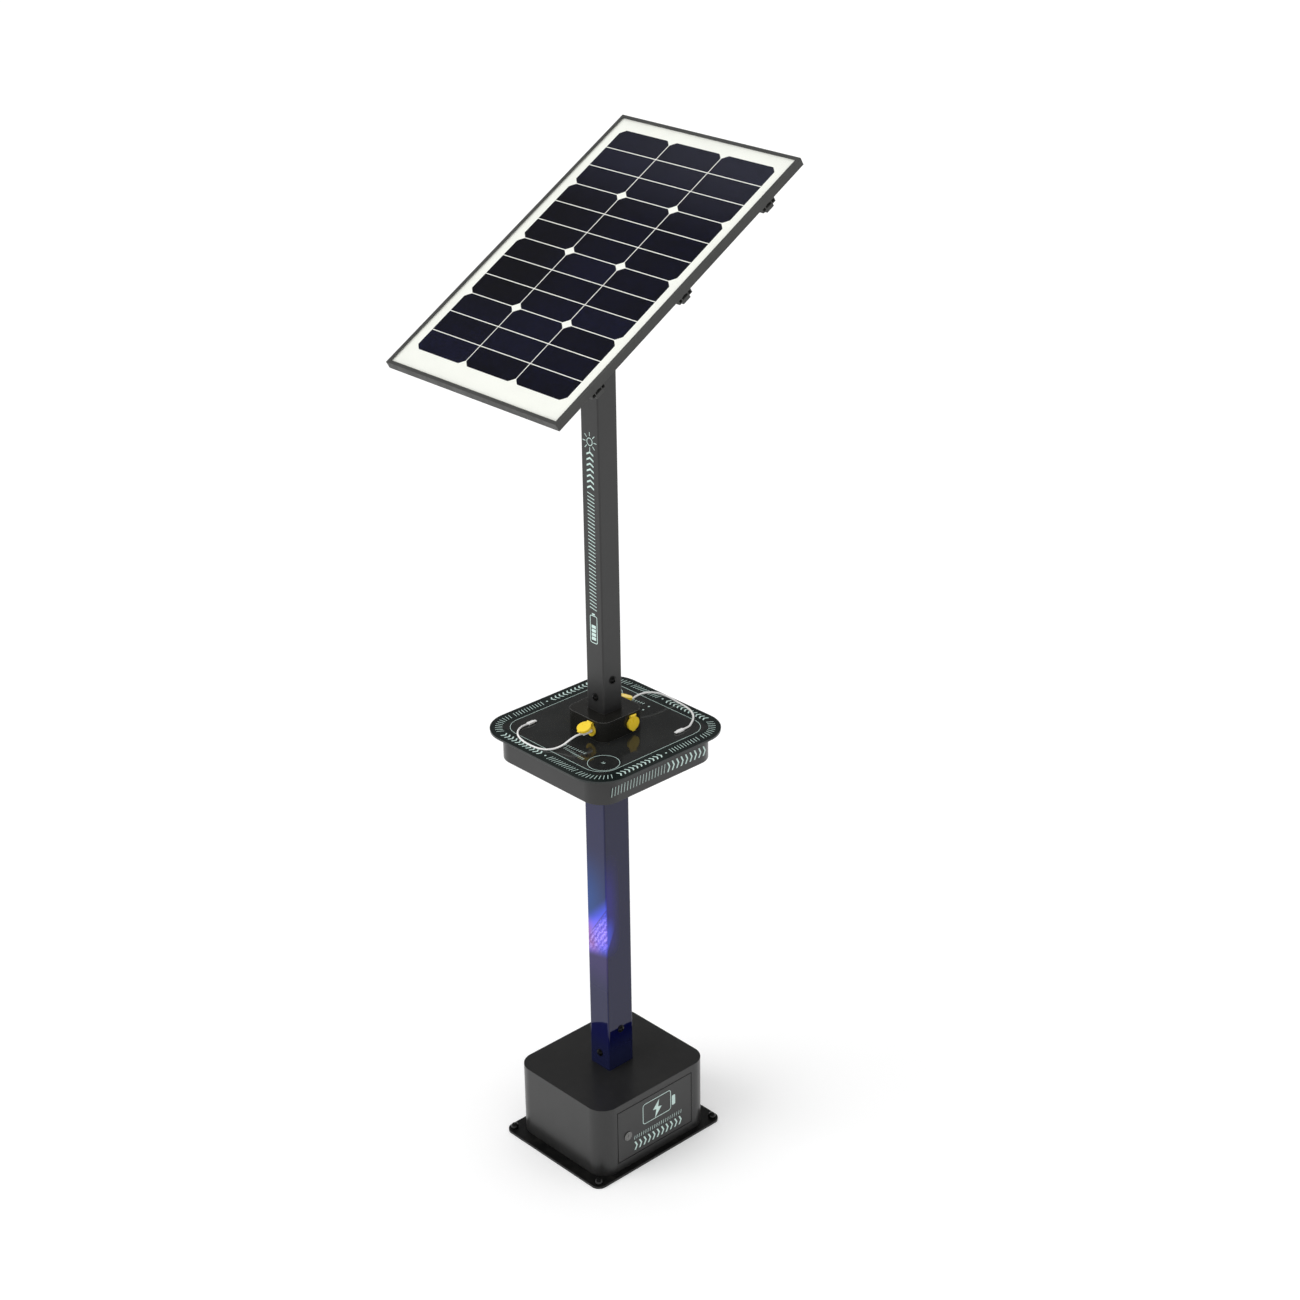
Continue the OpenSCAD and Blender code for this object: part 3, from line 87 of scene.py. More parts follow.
def makeObject(name, shape, material, smooth=False):
    # The points are in the part's own frame, so the object stays at the origin
    points, faces = shape
    mesh = bpy.data.meshes.new(name)
    mesh.from_pydata(points.tolist(), [], faces)
    mesh.polygons.foreach_set("use_smooth", np.full(len(mesh.polygons), smooth))
    mesh.materials.append(material)
    mesh.update()
    made = bpy.data.objects.new(name, mesh)
    bpy.context.scene.collection.objects.link(made)
    return made


def addPiece(name, shape, material, body, smooth=False):
    piece = makeObject(name, shape, material, smooth)
    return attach(piece, body)


def smoothPath(points, steps):
    # Catmull-Rom: between two points a cubic whose slopes come from the points on either side, cut in steps
    p = np.asarray(points, float)
    p = np.vstack([2 * p[0] - p[1], p, 2 * p[-1] - p[-2]])
    t = (np.arange(steps) / steps)[None, :, None]
    a, b, c, d = (p[i:len(p) - 3 + i, None, :] for i in range(4))
    curve = 2 * b + (c - a) * t + (2 * a - 5 * b + 4 * c - d) * t**2 + (3 * b - a - 3 * c + d) * t**3
    return np.vstack([curve.reshape(-1, 3) / 2, p[-2]])


def sweep(path, profile, closed=False):
    # A profile (u, v) along a path: point = path + side * u + lift * v, where side is ahead x Z and lift is
    # side x ahead. An open path gets a flat face at each end
    ahead = np.roll(path, -1, 0) - np.roll(path, 1, 0)
    if not closed:
        ahead[0], ahead[-1] = path[1] - path[0], path[-1] - path[-2]
    ahead /= np.linalg.norm(ahead, axis=1, keepdims=True)
    side = np.cross(ahead, (0.0, 0.0, 1.0))
    side /= np.linalg.norm(side, axis=1, keepdims=True)
    lift = np.cross(side, ahead)
    u, v = profile[None, :, 0, None], profile[None, :, 1, None]
    points = (path[:, None] + side[:, None] * u + lift[:, None] * v).reshape(-1, 3)
    rings, around = len(path), len(profile)
    i = np.arange(rings if closed else rings - 1)[:, None] * around
    j = np.arange(around)[None]
    j2, i2 = (j + 1) % around, (i + around) % (rings * around)
    faces = np.stack([i + j, i2 + j, i2 + j2, i + j2], -1).reshape(-1, 4).tolist()
    if not closed:
        faces += [list(range(around)), list(range(rings * around - 1, (rings - 1) * around - 1, -1))]
    return points, faces


def ringProfile(radius, count):
    # A circle: radius times the cosine and the sine of count even angles
    angle = np.arange(count) * 2 * np.pi / count
    return np.stack([np.cos(angle), np.sin(angle)], 1) * radius


# Charging cables: the routes repeat the part's own, in metres. Each stretch between two points is cut in
# steps, and around is how many sides the round section has
chargingCables = {
    "diameter": 0.0045,
    "steps": 8,
    "around": 16,
    "front": [
        (0.024, -0.100, 1.125), (0.024, -0.110, 1.125), (0.022, -0.124, 1.121),
        (0.016, -0.142, 1.111), (0.007, -0.158, 1.1048), (-0.006, -0.172, 1.1024),
        (-0.024, -0.181, 1.1023), (-0.046, -0.184, 1.1023), (-0.068, -0.183, 1.1023),
        (-0.090, -0.178, 1.1023), (-0.108, -0.169, 1.1023), (-0.121, -0.156, 1.1024),
        (-0.128, -0.141, 1.1028), (-0.129, -0.132, 1.103), (-0.129, -0.124, 1.103),
    ],
    "back": [
        (-0.024, 0.100, 1.125), (-0.024, 0.110, 1.1255), (-0.022, 0.126, 1.129),
        (-0.015, 0.146, 1.130), (-0.003, 0.168, 1.125), (0.014, 0.188, 1.113),
        (0.034, 0.196, 1.105), (0.056, 0.197, 1.1024), (0.078, 0.192, 1.1023),
        (0.098, 0.182, 1.1023), (0.114, 0.168, 1.1023), (0.127, 0.150, 1.1024),
        (0.136, 0.134, 1.1028), (0.138, 0.124, 1.103), (0.138, 0.116, 1.103),
    ],
}


def addCable(name, which, cables):
    # A circle swept along the route, from the plug in the port to the one at the far end
    path = smoothPath(cables[which], cables["steps"])
    tube = sweep(path, ringProfile(cables["diameter"] / 2, cables["around"]))
    cable = addPiece(name, tube, bpy.data.materials.new(name), "station", smooth=True)
    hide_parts(which + "_cable")
    return cable


frontCable = addCable("frontChargingCable", "front", chargingCables)
backCable = addCable("backChargingCable", "back", chargingCables)


# Node tools: an input is linked when its value is a socket, and set when it is a number or a colour
def addNode(tree, kind, values=None, **settings):
    made = tree.nodes.new("ShaderNode" + kind)
    for key, value in settings.items():
        setattr(made, key, value)
    for key, value in (values or {}).items():
        if isinstance(value, bpy.types.NodeSocket):
            tree.links.new(value, made.inputs[key])
        else:
            made.inputs[key].default_value = value
    return made


def calc(tree, operation, *values, clamp=False):
    return addNode(tree, "Math", dict(enumerate(values)), operation=operation, use_clamp=clamp).outputs[0]


def product(tree, first, *others):
    for other in others:
        first = calc(tree, "MULTIPLY", first, other)
    return first


def fade(tree, value, start, end, low=0.0, high=1.0):
    # A smooth step from low to high while the value runs from start to end
    values = {"Value": value, "From Min": start, "From Max": end, "To Min": low, "To Max": high}
    return addNode(tree, "MapRange", values, interpolation_type="SMOOTHSTEP").outputs[0]


def mixColour(tree, share, first, second):
    # On a Mix node of colours the share is input 0, the colours are 6 and 7, and the mixed one is output 2
    return addNode(tree, "Mix", {0: share, 6: first, 7: second}, data_type="RGBA").outputs[2]


def mixNumber(tree, share, first, second):
    return addNode(tree, "Mix", {0: share, 2: first, 3: second}, data_type="FLOAT").outputs[0]


def noise(tree, place, scale, detail=2.0, rough=0.5):
    values = {"Vector": place, "Scale": scale, "Detail": detail, "Roughness": rough}
    return addNode(tree, "TexNoise", values).outputs[0]


def ownPlace(tree):
    return addNode(tree, "TexCoord").outputs["Object"]


def axes(tree, vector):
    return addNode(tree, "SeparateXYZ", {0: vector}).outputs


def rgba(value, times=1.0):
    return (*[min(1.0, part * times) for part in value], 1.0)


def openShader(material):
    # The material's nodes, with the Principled shader that every new one starts with
    material.use_nodes = True
    tree = material.node_tree
    return tree, next(n for n in tree.nodes if n.type == "BSDF_PRINCIPLED")


def newGroup(name, inputs, outputs):
    group = bpy.data.node_groups.new(name, "ShaderNodeTree")
    for label, value in inputs.items():
        socket = group.interface.new_socket(label, in_out="INPUT", socket_type="NodeSocketFloat")
        socket.default_value = value
    for label in outputs:
        group.interface.new_socket(label, in_out="OUTPUT", socket_type="NodeSocketFloat")
    return group, group.nodes.new("NodeGroupInput").outputs, group.nodes.new("NodeGroupOutput").inputs


def useGroup(tree, group, values=None):
    return addNode(tree, "Group", values, node_tree=group).outputs


# Shared effects: every group puts out masks and values that the materials place on their own sockets.
# A name ending in Noise gives detail and roughness, one ending in Run from where to where the mask rises
effects = {
    "fineNoise": (3.0, 0.6), "broadNoise": (3.0, 0.5), "broadRun": (0.3, 0.7),
    "edgeSamples": 4, "edgeRun": (0.01, 0.2), "chipNoise": (4.0, 0.65), "chipRun": (0.35, 0.65),
    "upwardRun": (0.25, 0.95), "dustNoise": (6.0, 0.68), "dustRun": (0.42, 0.75),
    "patchNoise": (4.0, 0.6), "patchShare": 0.65, "streakNoise": (3.0, 0.55), "streakShare": 0.35,
    "streakSqueeze": (1.0, 1.0, 0.18), "streakTimes": 8.0, "markRun": (0.35, 0.65),
    "drawnNoise": (3.0, 0.6), "drawnRun": (0.3, 0.7),
}


def buildFineGrain(look):
    # Fine: the pimples of a sprayed or moulded skin. Broad: slow change of tone across a sheet
    group, given, out = newGroup("fineGrain", {"Scale": 900.0, "Broad Scale": 9.0}, ("Fine", "Broad"))
    place = ownPlace(group)
    group.links.new(noise(group, place, given["Scale"], *look["fineNoise"]), out["Fine"])
    broad = noise(group, place, given["Broad Scale"], *look["broadNoise"])
    group.links.new(fade(group, broad, *look["broadRun"]), out["Broad"])
    return group


def buildWearAndHighlightEdge(look):
    # Mask: one where the rounded normal leaves the flat one, broken up by a noise unless Even is one. Broken
    # up, it is lighter edge wear that also stands for light caught by the edges; with Even at one it is an
    # even painted highlight along every edge
    group, given, out = newGroup("wearAndHighlightEdge", {"Width": 0.0015, "Break Scale": 160.0, "Even": 0.0}, ("Mask",))
    rounded = addNode(group, "Bevel", {"Radius": given["Width"]}, samples=look["edgeSamples"]).outputs[0]
    flat = addNode(group, "NewGeometry").outputs["Normal"]
    along = addNode(group, "VectorMath", {0: rounded, 1: flat}, operation="DOT_PRODUCT").outputs["Value"]
    edge = fade(group, calc(group, "SUBTRACT", 1.0, along), *look["edgeRun"])
    chips = noise(group, ownPlace(group), given["Break Scale"], *look["chipNoise"])
    chips = calc(group, "MAXIMUM", fade(group, chips, *look["chipRun"]), given["Even"])
    group.links.new(product(group, edge, chips), out["Mask"])
    return group


def buildSettledDust(look):
    # Mask: one on faces that look up, in soft uneven patches
    group, given, out = newGroup("settledDust", {"Scale": 45.0}, ("Mask",))
    facing = axes(group, addNode(group, "NewGeometry").outputs["Normal"])[2]
    patches = noise(group, ownPlace(group), given["Scale"], *look["dustNoise"])
    mask = product(group, fade(group, facing, *look["upwardRun"]), fade(group, patches, *look["dustRun"]))
    group.links.new(mask, out["Mask"])
    return group


def buildHandMarks(look):
    # Value: wiped and touched patches with long soft streaks, for roughness
    group, given, out = newGroup("handMarks", {"Scale": 14.0}, ("Value",))
    place = ownPlace(group)
    drawn = addNode(group, "Mapping", {"Vector": place, "Scale": look["streakSqueeze"]}).outputs[0]
    patches = noise(group, place, given["Scale"], *look["patchNoise"])
    streaks = noise(group, drawn, product(group, given["Scale"], look["streakTimes"]), *look["streakNoise"])
    both = calc(group, "ADD", product(group, patches, look["patchShare"]),
                product(group, streaks, look["streakShare"]))
    group.links.new(fade(group, both, *look["markRun"]), out["Value"])
    return group


def buildDrawnLines(look):
    # Value: the fine lines that rolling and brushing leave, along X, Y or Z by the three squeezes
    group, given, out = newGroup("drawnLines", {"Scale": 1500.0, "X": 0.02, "Y": 1.0, "Z": 1.0}, ("Value",))
    squeeze = addNode(group, "CombineXYZ", {0: given["X"], 1: given["Y"], 2: given["Z"]}).outputs[0]
    place = addNode(group, "VectorMath", {0: ownPlace(group), 1: squeeze}, operation="MULTIPLY").outputs[0]
    lines = noise(group, place, given["Scale"], *look["drawnNoise"])
    group.links.new(fade(group, lines, *look["drawnRun"]), out["Value"])
    return group


fineGrain, wearAndHighlightEdge, settledDust = buildFineGrain(effects), buildWearAndHighlightEdge(effects), buildSettledDust(effects)
handMarks, drawnLines = buildHandMarks(effects), buildDrawnLines(effects)
print("shared effects built")

# What a finish has where its own dictionary doesn't say: noise scales per metre, lengths in metres, shares
plainLook = {
    "broad": 9.0, "spread": 0.12, "fleck": 0.12, "fleckTone": 0.6, "marks": 14.0, "wiped": 0.18,
    "lineTone": 1.35, "lineRough": 0.08, "dustColour": (0.30, 0.28, 0.24), "dustRough": 0.5,
    "wearAndHighlightWidth": 0.0015, "evenHighlight": 0.0, "wearAndHighlightColour": (0.16, 0.16, 0.16),
    "round": 0.0006, "roundSamples": 4, "bump": 0.15, "depth": 0.0002, "metal": 0.0, "ior": 1.5,
}


def makeMaterial(name, look, tint=None, material=None):
    # Colour: the tone a little darker to lighter by the broad grain and flecked by the fine one, then the
    # tint, the drawn lines, dust and worn edges, which are partly a painted highlight. Roughness: more or
    # less by the hand marks, more on lines
    # and dust. Normal: edges rounded by round, with the grain or the lines as a bump over them
    look = {**plainLook, **look}
    material = material or bpy.data.materials.new(name)
    tree, shader = openShader(material)
    tone, spread, wiped = look["colour"], look["spread"], look["wiped"]
    grain = useGroup(tree, fineGrain, {"Scale": look["grain"], "Broad Scale": look["broad"]})
    plain = mixColour(tree, grain["Broad"], rgba(tone, 1 - spread), rgba(tone, 1 + spread))
    flecks = product(tree, grain["Fine"], look["fleck"])
    plain = mixColour(tree, flecks, plain, rgba(tone, look["fleckTone"]))
    marks = useGroup(tree, handMarks, {"Scale": look["marks"]})["Value"]
    rough = fade(tree, marks, 0.0, 1.0, look["rough"] * (1 - wiped), look["rough"] * (1 + wiped))
    height = grain["Fine"]
    if tint:
        plain, rough = tint(tree, plain, rough)
    if "lines" in look:
        lines = useGroup(tree, drawnLines, dict(zip("XYZ", look["lines"])))["Value"]
        plain = mixColour(tree, lines, plain, rgba(tone, look["lineTone"]))
        rough = calc(tree, "ADD", rough, product(tree, lines, look["lineRough"]))
        height = lines
    if "dust" in look:
        dust = product(tree, useGroup(tree, settledDust)["Mask"], look["dust"])
        plain = mixColour(tree, dust, plain, rgba(look["dustColour"]))
        rough = calc(tree, "ADD", rough, product(tree, dust, look["dustRough"]), clamp=True)
    # Lighter edges: wear where the noise breaks them up, and a painted highlight where they run even
    if "wearAndHighlight" in look:
        wearAndHighlight = useGroup(tree, wearAndHighlightEdge, {"Width": look["wearAndHighlightWidth"], "Even": look["evenHighlight"]})["Mask"]
        plain = mixColour(tree, product(tree, wearAndHighlight, look["wearAndHighlight"]), plain, rgba(look["wearAndHighlightColour"]))
    tree.links.new(plain, shader.inputs["Base Color"])
    tree.links.new(rough, shader.inputs["Roughness"])
    rounded = addNode(tree, "Bevel", {"Radius": look["round"]}, samples=look["roundSamples"]).outputs[0]
    bump = {"Height": height, "Strength": look["bump"], "Distance": look["depth"], "Normal": rounded}
    tree.links.new(addNode(tree, "Bump", bump).outputs[0], shader.inputs["Normal"])
    shader.inputs["Metallic"].default_value = look["metal"]
    shader.inputs["IOR"].default_value = look["ior"]
    return material


def paint(material, *nodeNames):
    # The material goes on every slot of those CAD nodes
    for nodeName in nodeNames:
        for slot in nodes[nodeName].material_slots:
            slot.link = "OBJECT"
            slot.material = material


# Painted steel: a fine-textured satin black on the housings and poles, blacker on the plates and bolts
satinBlack = {
    "colour": (0.0165, 0.0166, 0.0165), "spread": 0.10, "grain": 1100.0, "broad": 6.0, "rough": 0.31,
    "wiped": 0.08, "marks": 9.0, "bump": 0.16, "depth": 0.00008, "round": 0.0010, "dust": 0.012,
    "wearAndHighlight": 0.30, "wearAndHighlightWidth": 0.0011, "wearAndHighlightColour": (0.09, 0.09, 0.09),
}
# The port block's edges carry an even pale line all round, a painted highlight of the light its edges catch
blockBlack = dict(satinBlack, colour=(0.0125, 0.0122, 0.0105), rough=0.24, round=0.0014, wearAndHighlight=1.0,
                  wearAndHighlightWidth=0.0019, evenHighlight=1.0, wearAndHighlightColour=(0.15, 0.15, 0.145))
plateBlack = dict(satinBlack, colour=(0.0050, 0.0050, 0.0050), ior=1.38, rough=0.34, dust=0.03, wearAndHighlight=0.3)
boltBlack = dict(satinBlack, colour=(0.0022, 0.0022, 0.0022), ior=1.28, rough=0.30, grain=1800.0, wearAndHighlight=0.25,
                 wearAndHighlightColour=(0.05, 0.05, 0.05))

# Lower pole: gloss navy with a soft printed band of light, greyer towards its foot, and its side face a
# darker navy as painted shade
bandedNavy = {
    "colour": (0.0065, 0.0075, 0.052), "spread": 0.10, "grain": 1500.0, "broad": 4.0, "rough": 0.045,
    "wiped": 0.3, "ior": 1.43, "bump": 0.025, "depth": 0.00006, "round": 0.0020, "wearAndHighlight": 0.12,
    "wearAndHighlightColour": (0.05, 0.05, 0.10),
    # side is the darker navy of the +X side face, painted shade on the face turned away from the lamp
    "side": (0.0010, 0.0018, 0.036), "greyFoot": (0.0090, 0.0112, 0.0400), "haze": (0.006, 0.046, 0.205),
    "sideHaze": (0.014, 0.008, 0.190), "dusk": (0.026, 0.016, 0.095), "blue": (0.055, 0.085, 0.760),
    "violet": (0.210, 0.150, 0.860), "rose": (0.270, 0.110, 0.380), "gap": (0.035, 0.025, 0.300),
    "streak": (0.46, 0.36, 0.98),
}

# Its masks, in metres. Two numbers say where a mask starts and where it is full, and two more how weak and
# how strong it is. A rise is how far the print climbs for each metre across the face. Patches, shares and
# what bright and gaps read run from 0 to 1, and a noise is its scale, detail and roughness
bandMasks = {
    # Towards the foot the navy turns greyer, from 0.300 m down to 0.225 m
    "front": (-0.0350, -0.0385), "side": (0.0300, 0.0325), "greyFootRun": (0.300, 0.225),
    "hazeTop": (0.810, 0.650), "hazeFoot": (0.500, 0.560), "hazeAcross": (0.045, -0.033, 0.35, 1.0),
    "sideAcross": (0.010, -0.034), "duskFoot": (0.400, 0.500), "duskTop": (0.580, 0.500),
    "coreTop": (0.650, 0.598), "coreRise": 1.0, "coreFoot": (0.500, 0.540), "footRise": 0.20,
    "spillFoot": (0.529, 0.543), "spillRise": 2.2, "spillEdge": -0.035, "spillTop": (0.628, 0.575),
    "spillAcross": (-0.009, -0.034, 0.0, 0.75),
    "lineRise": 1.47, "linePitch": 0.019, "wobbleNoise": (75.0, 5.0, 0.7), "wobble": 0.045,
    "under": (0.5975, 0.5895), "darkLine": 0.5935, "darkSoft": (0.0050, 0.0010), "darkShare": 0.8,
    "darkAcross": (-0.024, -0.012), "patchNoise": (105.0, 5.0, 0.75), "patches": (0.40, 0.60),
    "heart": 0.562, "heartRise": 0.4, "heartSoft": (0.062, 0.010), "bright": (0.30, 0.95),
    "gaps": (0.42, 0.05), "gapsFilled": 0.6, "gapShare": 0.75, "lower": (0.575, 0.480), "lowerRise": -2.2,
}


def lightBand(tree, plain, rough):
    # Haze thins upwards. The core's top edge rises to the right, its foot less. Uneven fine lines climb
    # across its lower part under one dark line, and a wedge of it wraps round the corner
    look = bandMasks
    place = ownPlace(tree)
    x, y, z = axes(tree, place)

    def mask(value, which):
        return fade(tree, value, *look[which])

    def leaned(rise):
        # The same value all along a line that climbs by rise: z - x * rise
        return calc(tree, "SUBTRACT", z, product(tree, x, look[rise]))

    def offset(value, middle):
        # How far the value is from the middle, either way
        return calc(tree, "ABSOLUTE", calc(tree, "SUBTRACT", value, look[middle]))

    # side masks the +X face, which gets a darker navy as painted shade
    front, side = mask(y, "front"), mask(x, "side")
    level = product(tree, mask(z, "hazeTop"), mask(z, "hazeFoot"))
    haze = product(tree, level, mask(x, "hazeAcross"), front)
    sideHaze = product(tree, level, side, mask(y, "sideAcross"))
    dusk = product(tree, mask(z, "duskFoot"), mask(z, "duskTop"), front)
    core = product(tree, mask(leaned("coreRise"), "coreTop"), mask(leaned("footRise"), "coreFoot"), front)

    # The wedge: its foot climbs along the side face from the corner at y = spillEdge
    fromCorner = calc(tree, "SUBTRACT", y, look["spillEdge"])
    foot = calc(tree, "SUBTRACT", z, product(tree, fromCorner, look["spillRise"]))
    wedge = product(tree, mask(foot, "spillFoot"), mask(z, "spillTop"), side, mask(y, "spillAcross"))

    # The fine lines: a zigzag from 0 to 1 over leaned height, bent by a noise; they show below the dark line
    climb = leaned("lineRise")
    under = mask(climb, "under")
    darkLine = product(tree, mask(offset(climb, "darkLine"), "darkSoft"), mask(x, "darkAcross"), core)
    bent = calc(tree, "ADD", climb, product(tree, noise(tree, place, *look["wobbleNoise"]), look["wobble"]))
    half = look["linePitch"] / 2
    zigzag = calc(tree, "DIVIDE", calc(tree, "PINGPONG", bent, half), half)
    patchy = mask(noise(tree, place, *look["patchNoise"]), "patches")
    heart = product(tree, mask(offset(leaned("heartRise"), "heart"), "heartSoft"), core)
    bright = product(tree, mask(zigzag, "bright"), patchy, heart, under)
    unfilled = calc(tree, "SUBTRACT", 1.0, product(tree, patchy, look["gapsFilled"]))
    gaps = product(tree, mask(zigzag, "gaps"), unfilled, core, under, look["gapShare"])
    gaps = calc(tree, "MAXIMUM", gaps, product(tree, darkLine, look["darkShare"]))
    lower = product(tree, mask(leaned("lowerRise"), "lower"), core)

    layers = (
        (side, "side"), (mask(z, "greyFootRun"), "greyFoot"), (haze, "haze"), (sideHaze, "sideHaze"), (dusk, "dusk"),
        (calc(tree, "MAXIMUM", core, wedge), "blue"), (heart, "violet"), (lower, "rose"), (gaps, "gap"),
        (bright, "streak"),
    )
    for share, tone in layers:
        plain = mixColour(tree, share, plain, rgba(bandedNavy[tone]))
    return plain, rough


# Tray top: gloss black, greener outside the printed line, with fine wiping scratches
glossTray = {
    "colour": (0.0190, 0.0200, 0.0195), "spread": 0.15, "grain": 1400.0, "broad": 12.0, "rough": 0.09,
    "wiped": 0.4, "marks": 22.0, "fleck": 0.04, "bump": 0.008, "depth": 0.00004, "round": 0.0012,
    "dust": 0.008, "wearAndHighlight": 0.35, "wearAndHighlightColour": (0.06, 0.065, 0.06),
    "border": (0.0085, 0.0135, 0.0125), "borderRun": (0.1670, 0.1710),
    "scratchNoise": (240.0, 6.0, 0.75), "scratchRun": (0.62, 0.70), "scratchRough": 0.05,
}


def trayBorder(tree, plain, rough):
    # The border starts where the larger of |x| and |y| passes the printed line
    look = glossTray
    place = ownPlace(tree)
    x, y, _ = axes(tree, place)
    far = calc(tree, "MAXIMUM", calc(tree, "ABSOLUTE", x), calc(tree, "ABSOLUTE", y))
    scratches = fade(tree, noise(tree, place, *look["scratchNoise"]), *look["scratchRun"])
    rough = calc(tree, "ADD", rough, product(tree, scratches, look["scratchRough"]))
    return mixColour(tree, fade(tree, far, *look["borderRun"]), plain, rgba(look["border"])), rough


# Metals, plastics and rubber
frameGrey = {
    "colour": (0.068, 0.0687, 0.0665), "metal": 0.12, "ior": 1.25, "grain": 1600.0, "rough": 0.45,
    "bump": 0.06, "depth": 0.00006, "lines": (0.03, 1.0, 1.0), "lineTone": 1.12, "dust": 0.02, "wearAndHighlight": 0.25,
}
bareAluminium = dict(frameGrey, colour=(0.56, 0.57, 0.58), metal=1.0, ior=1.5, rough=0.34, wearAndHighlight=0.2,
                     wearAndHighlightColour=(0.8, 0.8, 0.8))
zincSteel = dict(frameGrey, colour=(0.17, 0.17, 0.165), metal=0.85, ior=1.5, rough=0.36, grain=900.0,
                 spread=0.25, broad=120.0, lines=(1.0, 1.0, 0.05), wearAndHighlight=0.4, wearAndHighlightColour=(0.55, 0.55, 0.55))
blackPlastic = {
    "colour": (0.012, 0.012, 0.012), "grain": 1500.0, "rough": 0.5, "bump": 0.25, "depth": 0.0001,
    "round": 0.0008, "dust": 0.06, "wearAndHighlight": 0.3, "wearAndHighlightColour": (0.05, 0.05, 0.05),
}
capBlack = dict(blackPlastic, colour=(0.0035, 0.0035, 0.0035), ior=1.42, rough=0.16, bump=0.06, dust=0.02,
                wearAndHighlight=0.1)
greyPlastic = dict(blackPlastic, colour=(0.10, 0.11, 0.12), wearAndHighlight=0.25, wearAndHighlightColour=(0.25, 0.26, 0.27))
controllerMetal = dict(frameGrey, colour=(0.13, 0.14, 0.15), metal=0.5, rough=0.45, lines=(1.0, 1.0, 0.03))
batteryCase = dict(blackPlastic, colour=(0.022, 0.055, 0.12), rough=0.42, wearAndHighlightColour=(0.10, 0.16, 0.24))
sealRubber = dict(blackPlastic, colour=(0.009, 0.009, 0.009), rough=0.75, bump=0.4, depth=0.0002, dust=0.12)
portYellow = {
    "colour": (1.0, 0.700, 0.040), "spread": 0.03, "fleck": 0.01, "grain": 1700.0, "broad": 60.0,
    "rough": 0.33, "bump": 0.12, "depth": 0.00008, "round": 0.0011, "dust": 0.03,
    "dustColour": (0.45, 0.36, 0.2), "wearAndHighlight": 0.35, "wearAndHighlightColour": (0.95, 0.74, 0.26),
}
plugWhite = {
    "colour": (0.87, 0.87, 0.86), "spread": 0.03, "fleck": 0.04, "grain": 1600.0, "rough": 0.36, "bump": 0.1,
    "depth": 0.00008, "round": 0.0007, "dust": 0.08, "dustColour": (0.55, 0.54, 0.5),
}
cableWhite = dict(plugWhite, rough=0.42, grain=1200.0, bump=0.15)
sheetWhite = {
    "colour": (0.890, 0.900, 0.840), "spread": 0.012, "fleck": 0.015, "grain": 800.0, "broad": 14.0,
    "rough": 0.5, "bump": 0.03, "depth": 0.00005, "round": 0.0003,
}

# Cell strips: sizes in metres on the panel's own plane, whose middle and tilt are the part's own
cellNavy = {
    "colour": (0.0008, 0.0011, 0.0085), "spread": 0.2, "grain": 2200.0, "broad": 16.0, "rough": 0.34,
    "bump": 0.02, "depth": 0.00002, "round": 0.0002, "ior": 1.18,
    "tilt": 30.5, "middle": (0.0, -0.01201, 2.19395), "shift": 0.010, "column": 0.158, "row": 0.0585,
    "light": (0.0028, 0.0034, 0.0165), "lightSeed": 3.0, "lightRun": (0.35, 1.0),
    # dark and top are a painted reflection over the whole panel: darker in the middle to the left, paler at
    # the top to the right
    "darkReflection": (0.0008, 0.0008, 0.0020), "darkAcross": (0.03, -0.16), "darkReflectionAlong": (0.30, 0.10),
    "darkShare": 0.8, "finger": 0.0016, "fingerTone": (0.012, 0.012, 0.028),
    "fingerRun": (0.000096, 0.000032), "fingerShare": 0.5,
    "top": (0.0250, 0.0260, 0.0400), "paleReflectionAlong": (0.10, 0.37), "paleReflectionAcross": (-0.30, 0.20, 0.45, 0.8),
    "mottleNoise": (420.0, 5.0, 0.7), "mottleRun": (0.50, 0.8), "mottleShare": 0.30, "mottleTimes": 1.6,
}


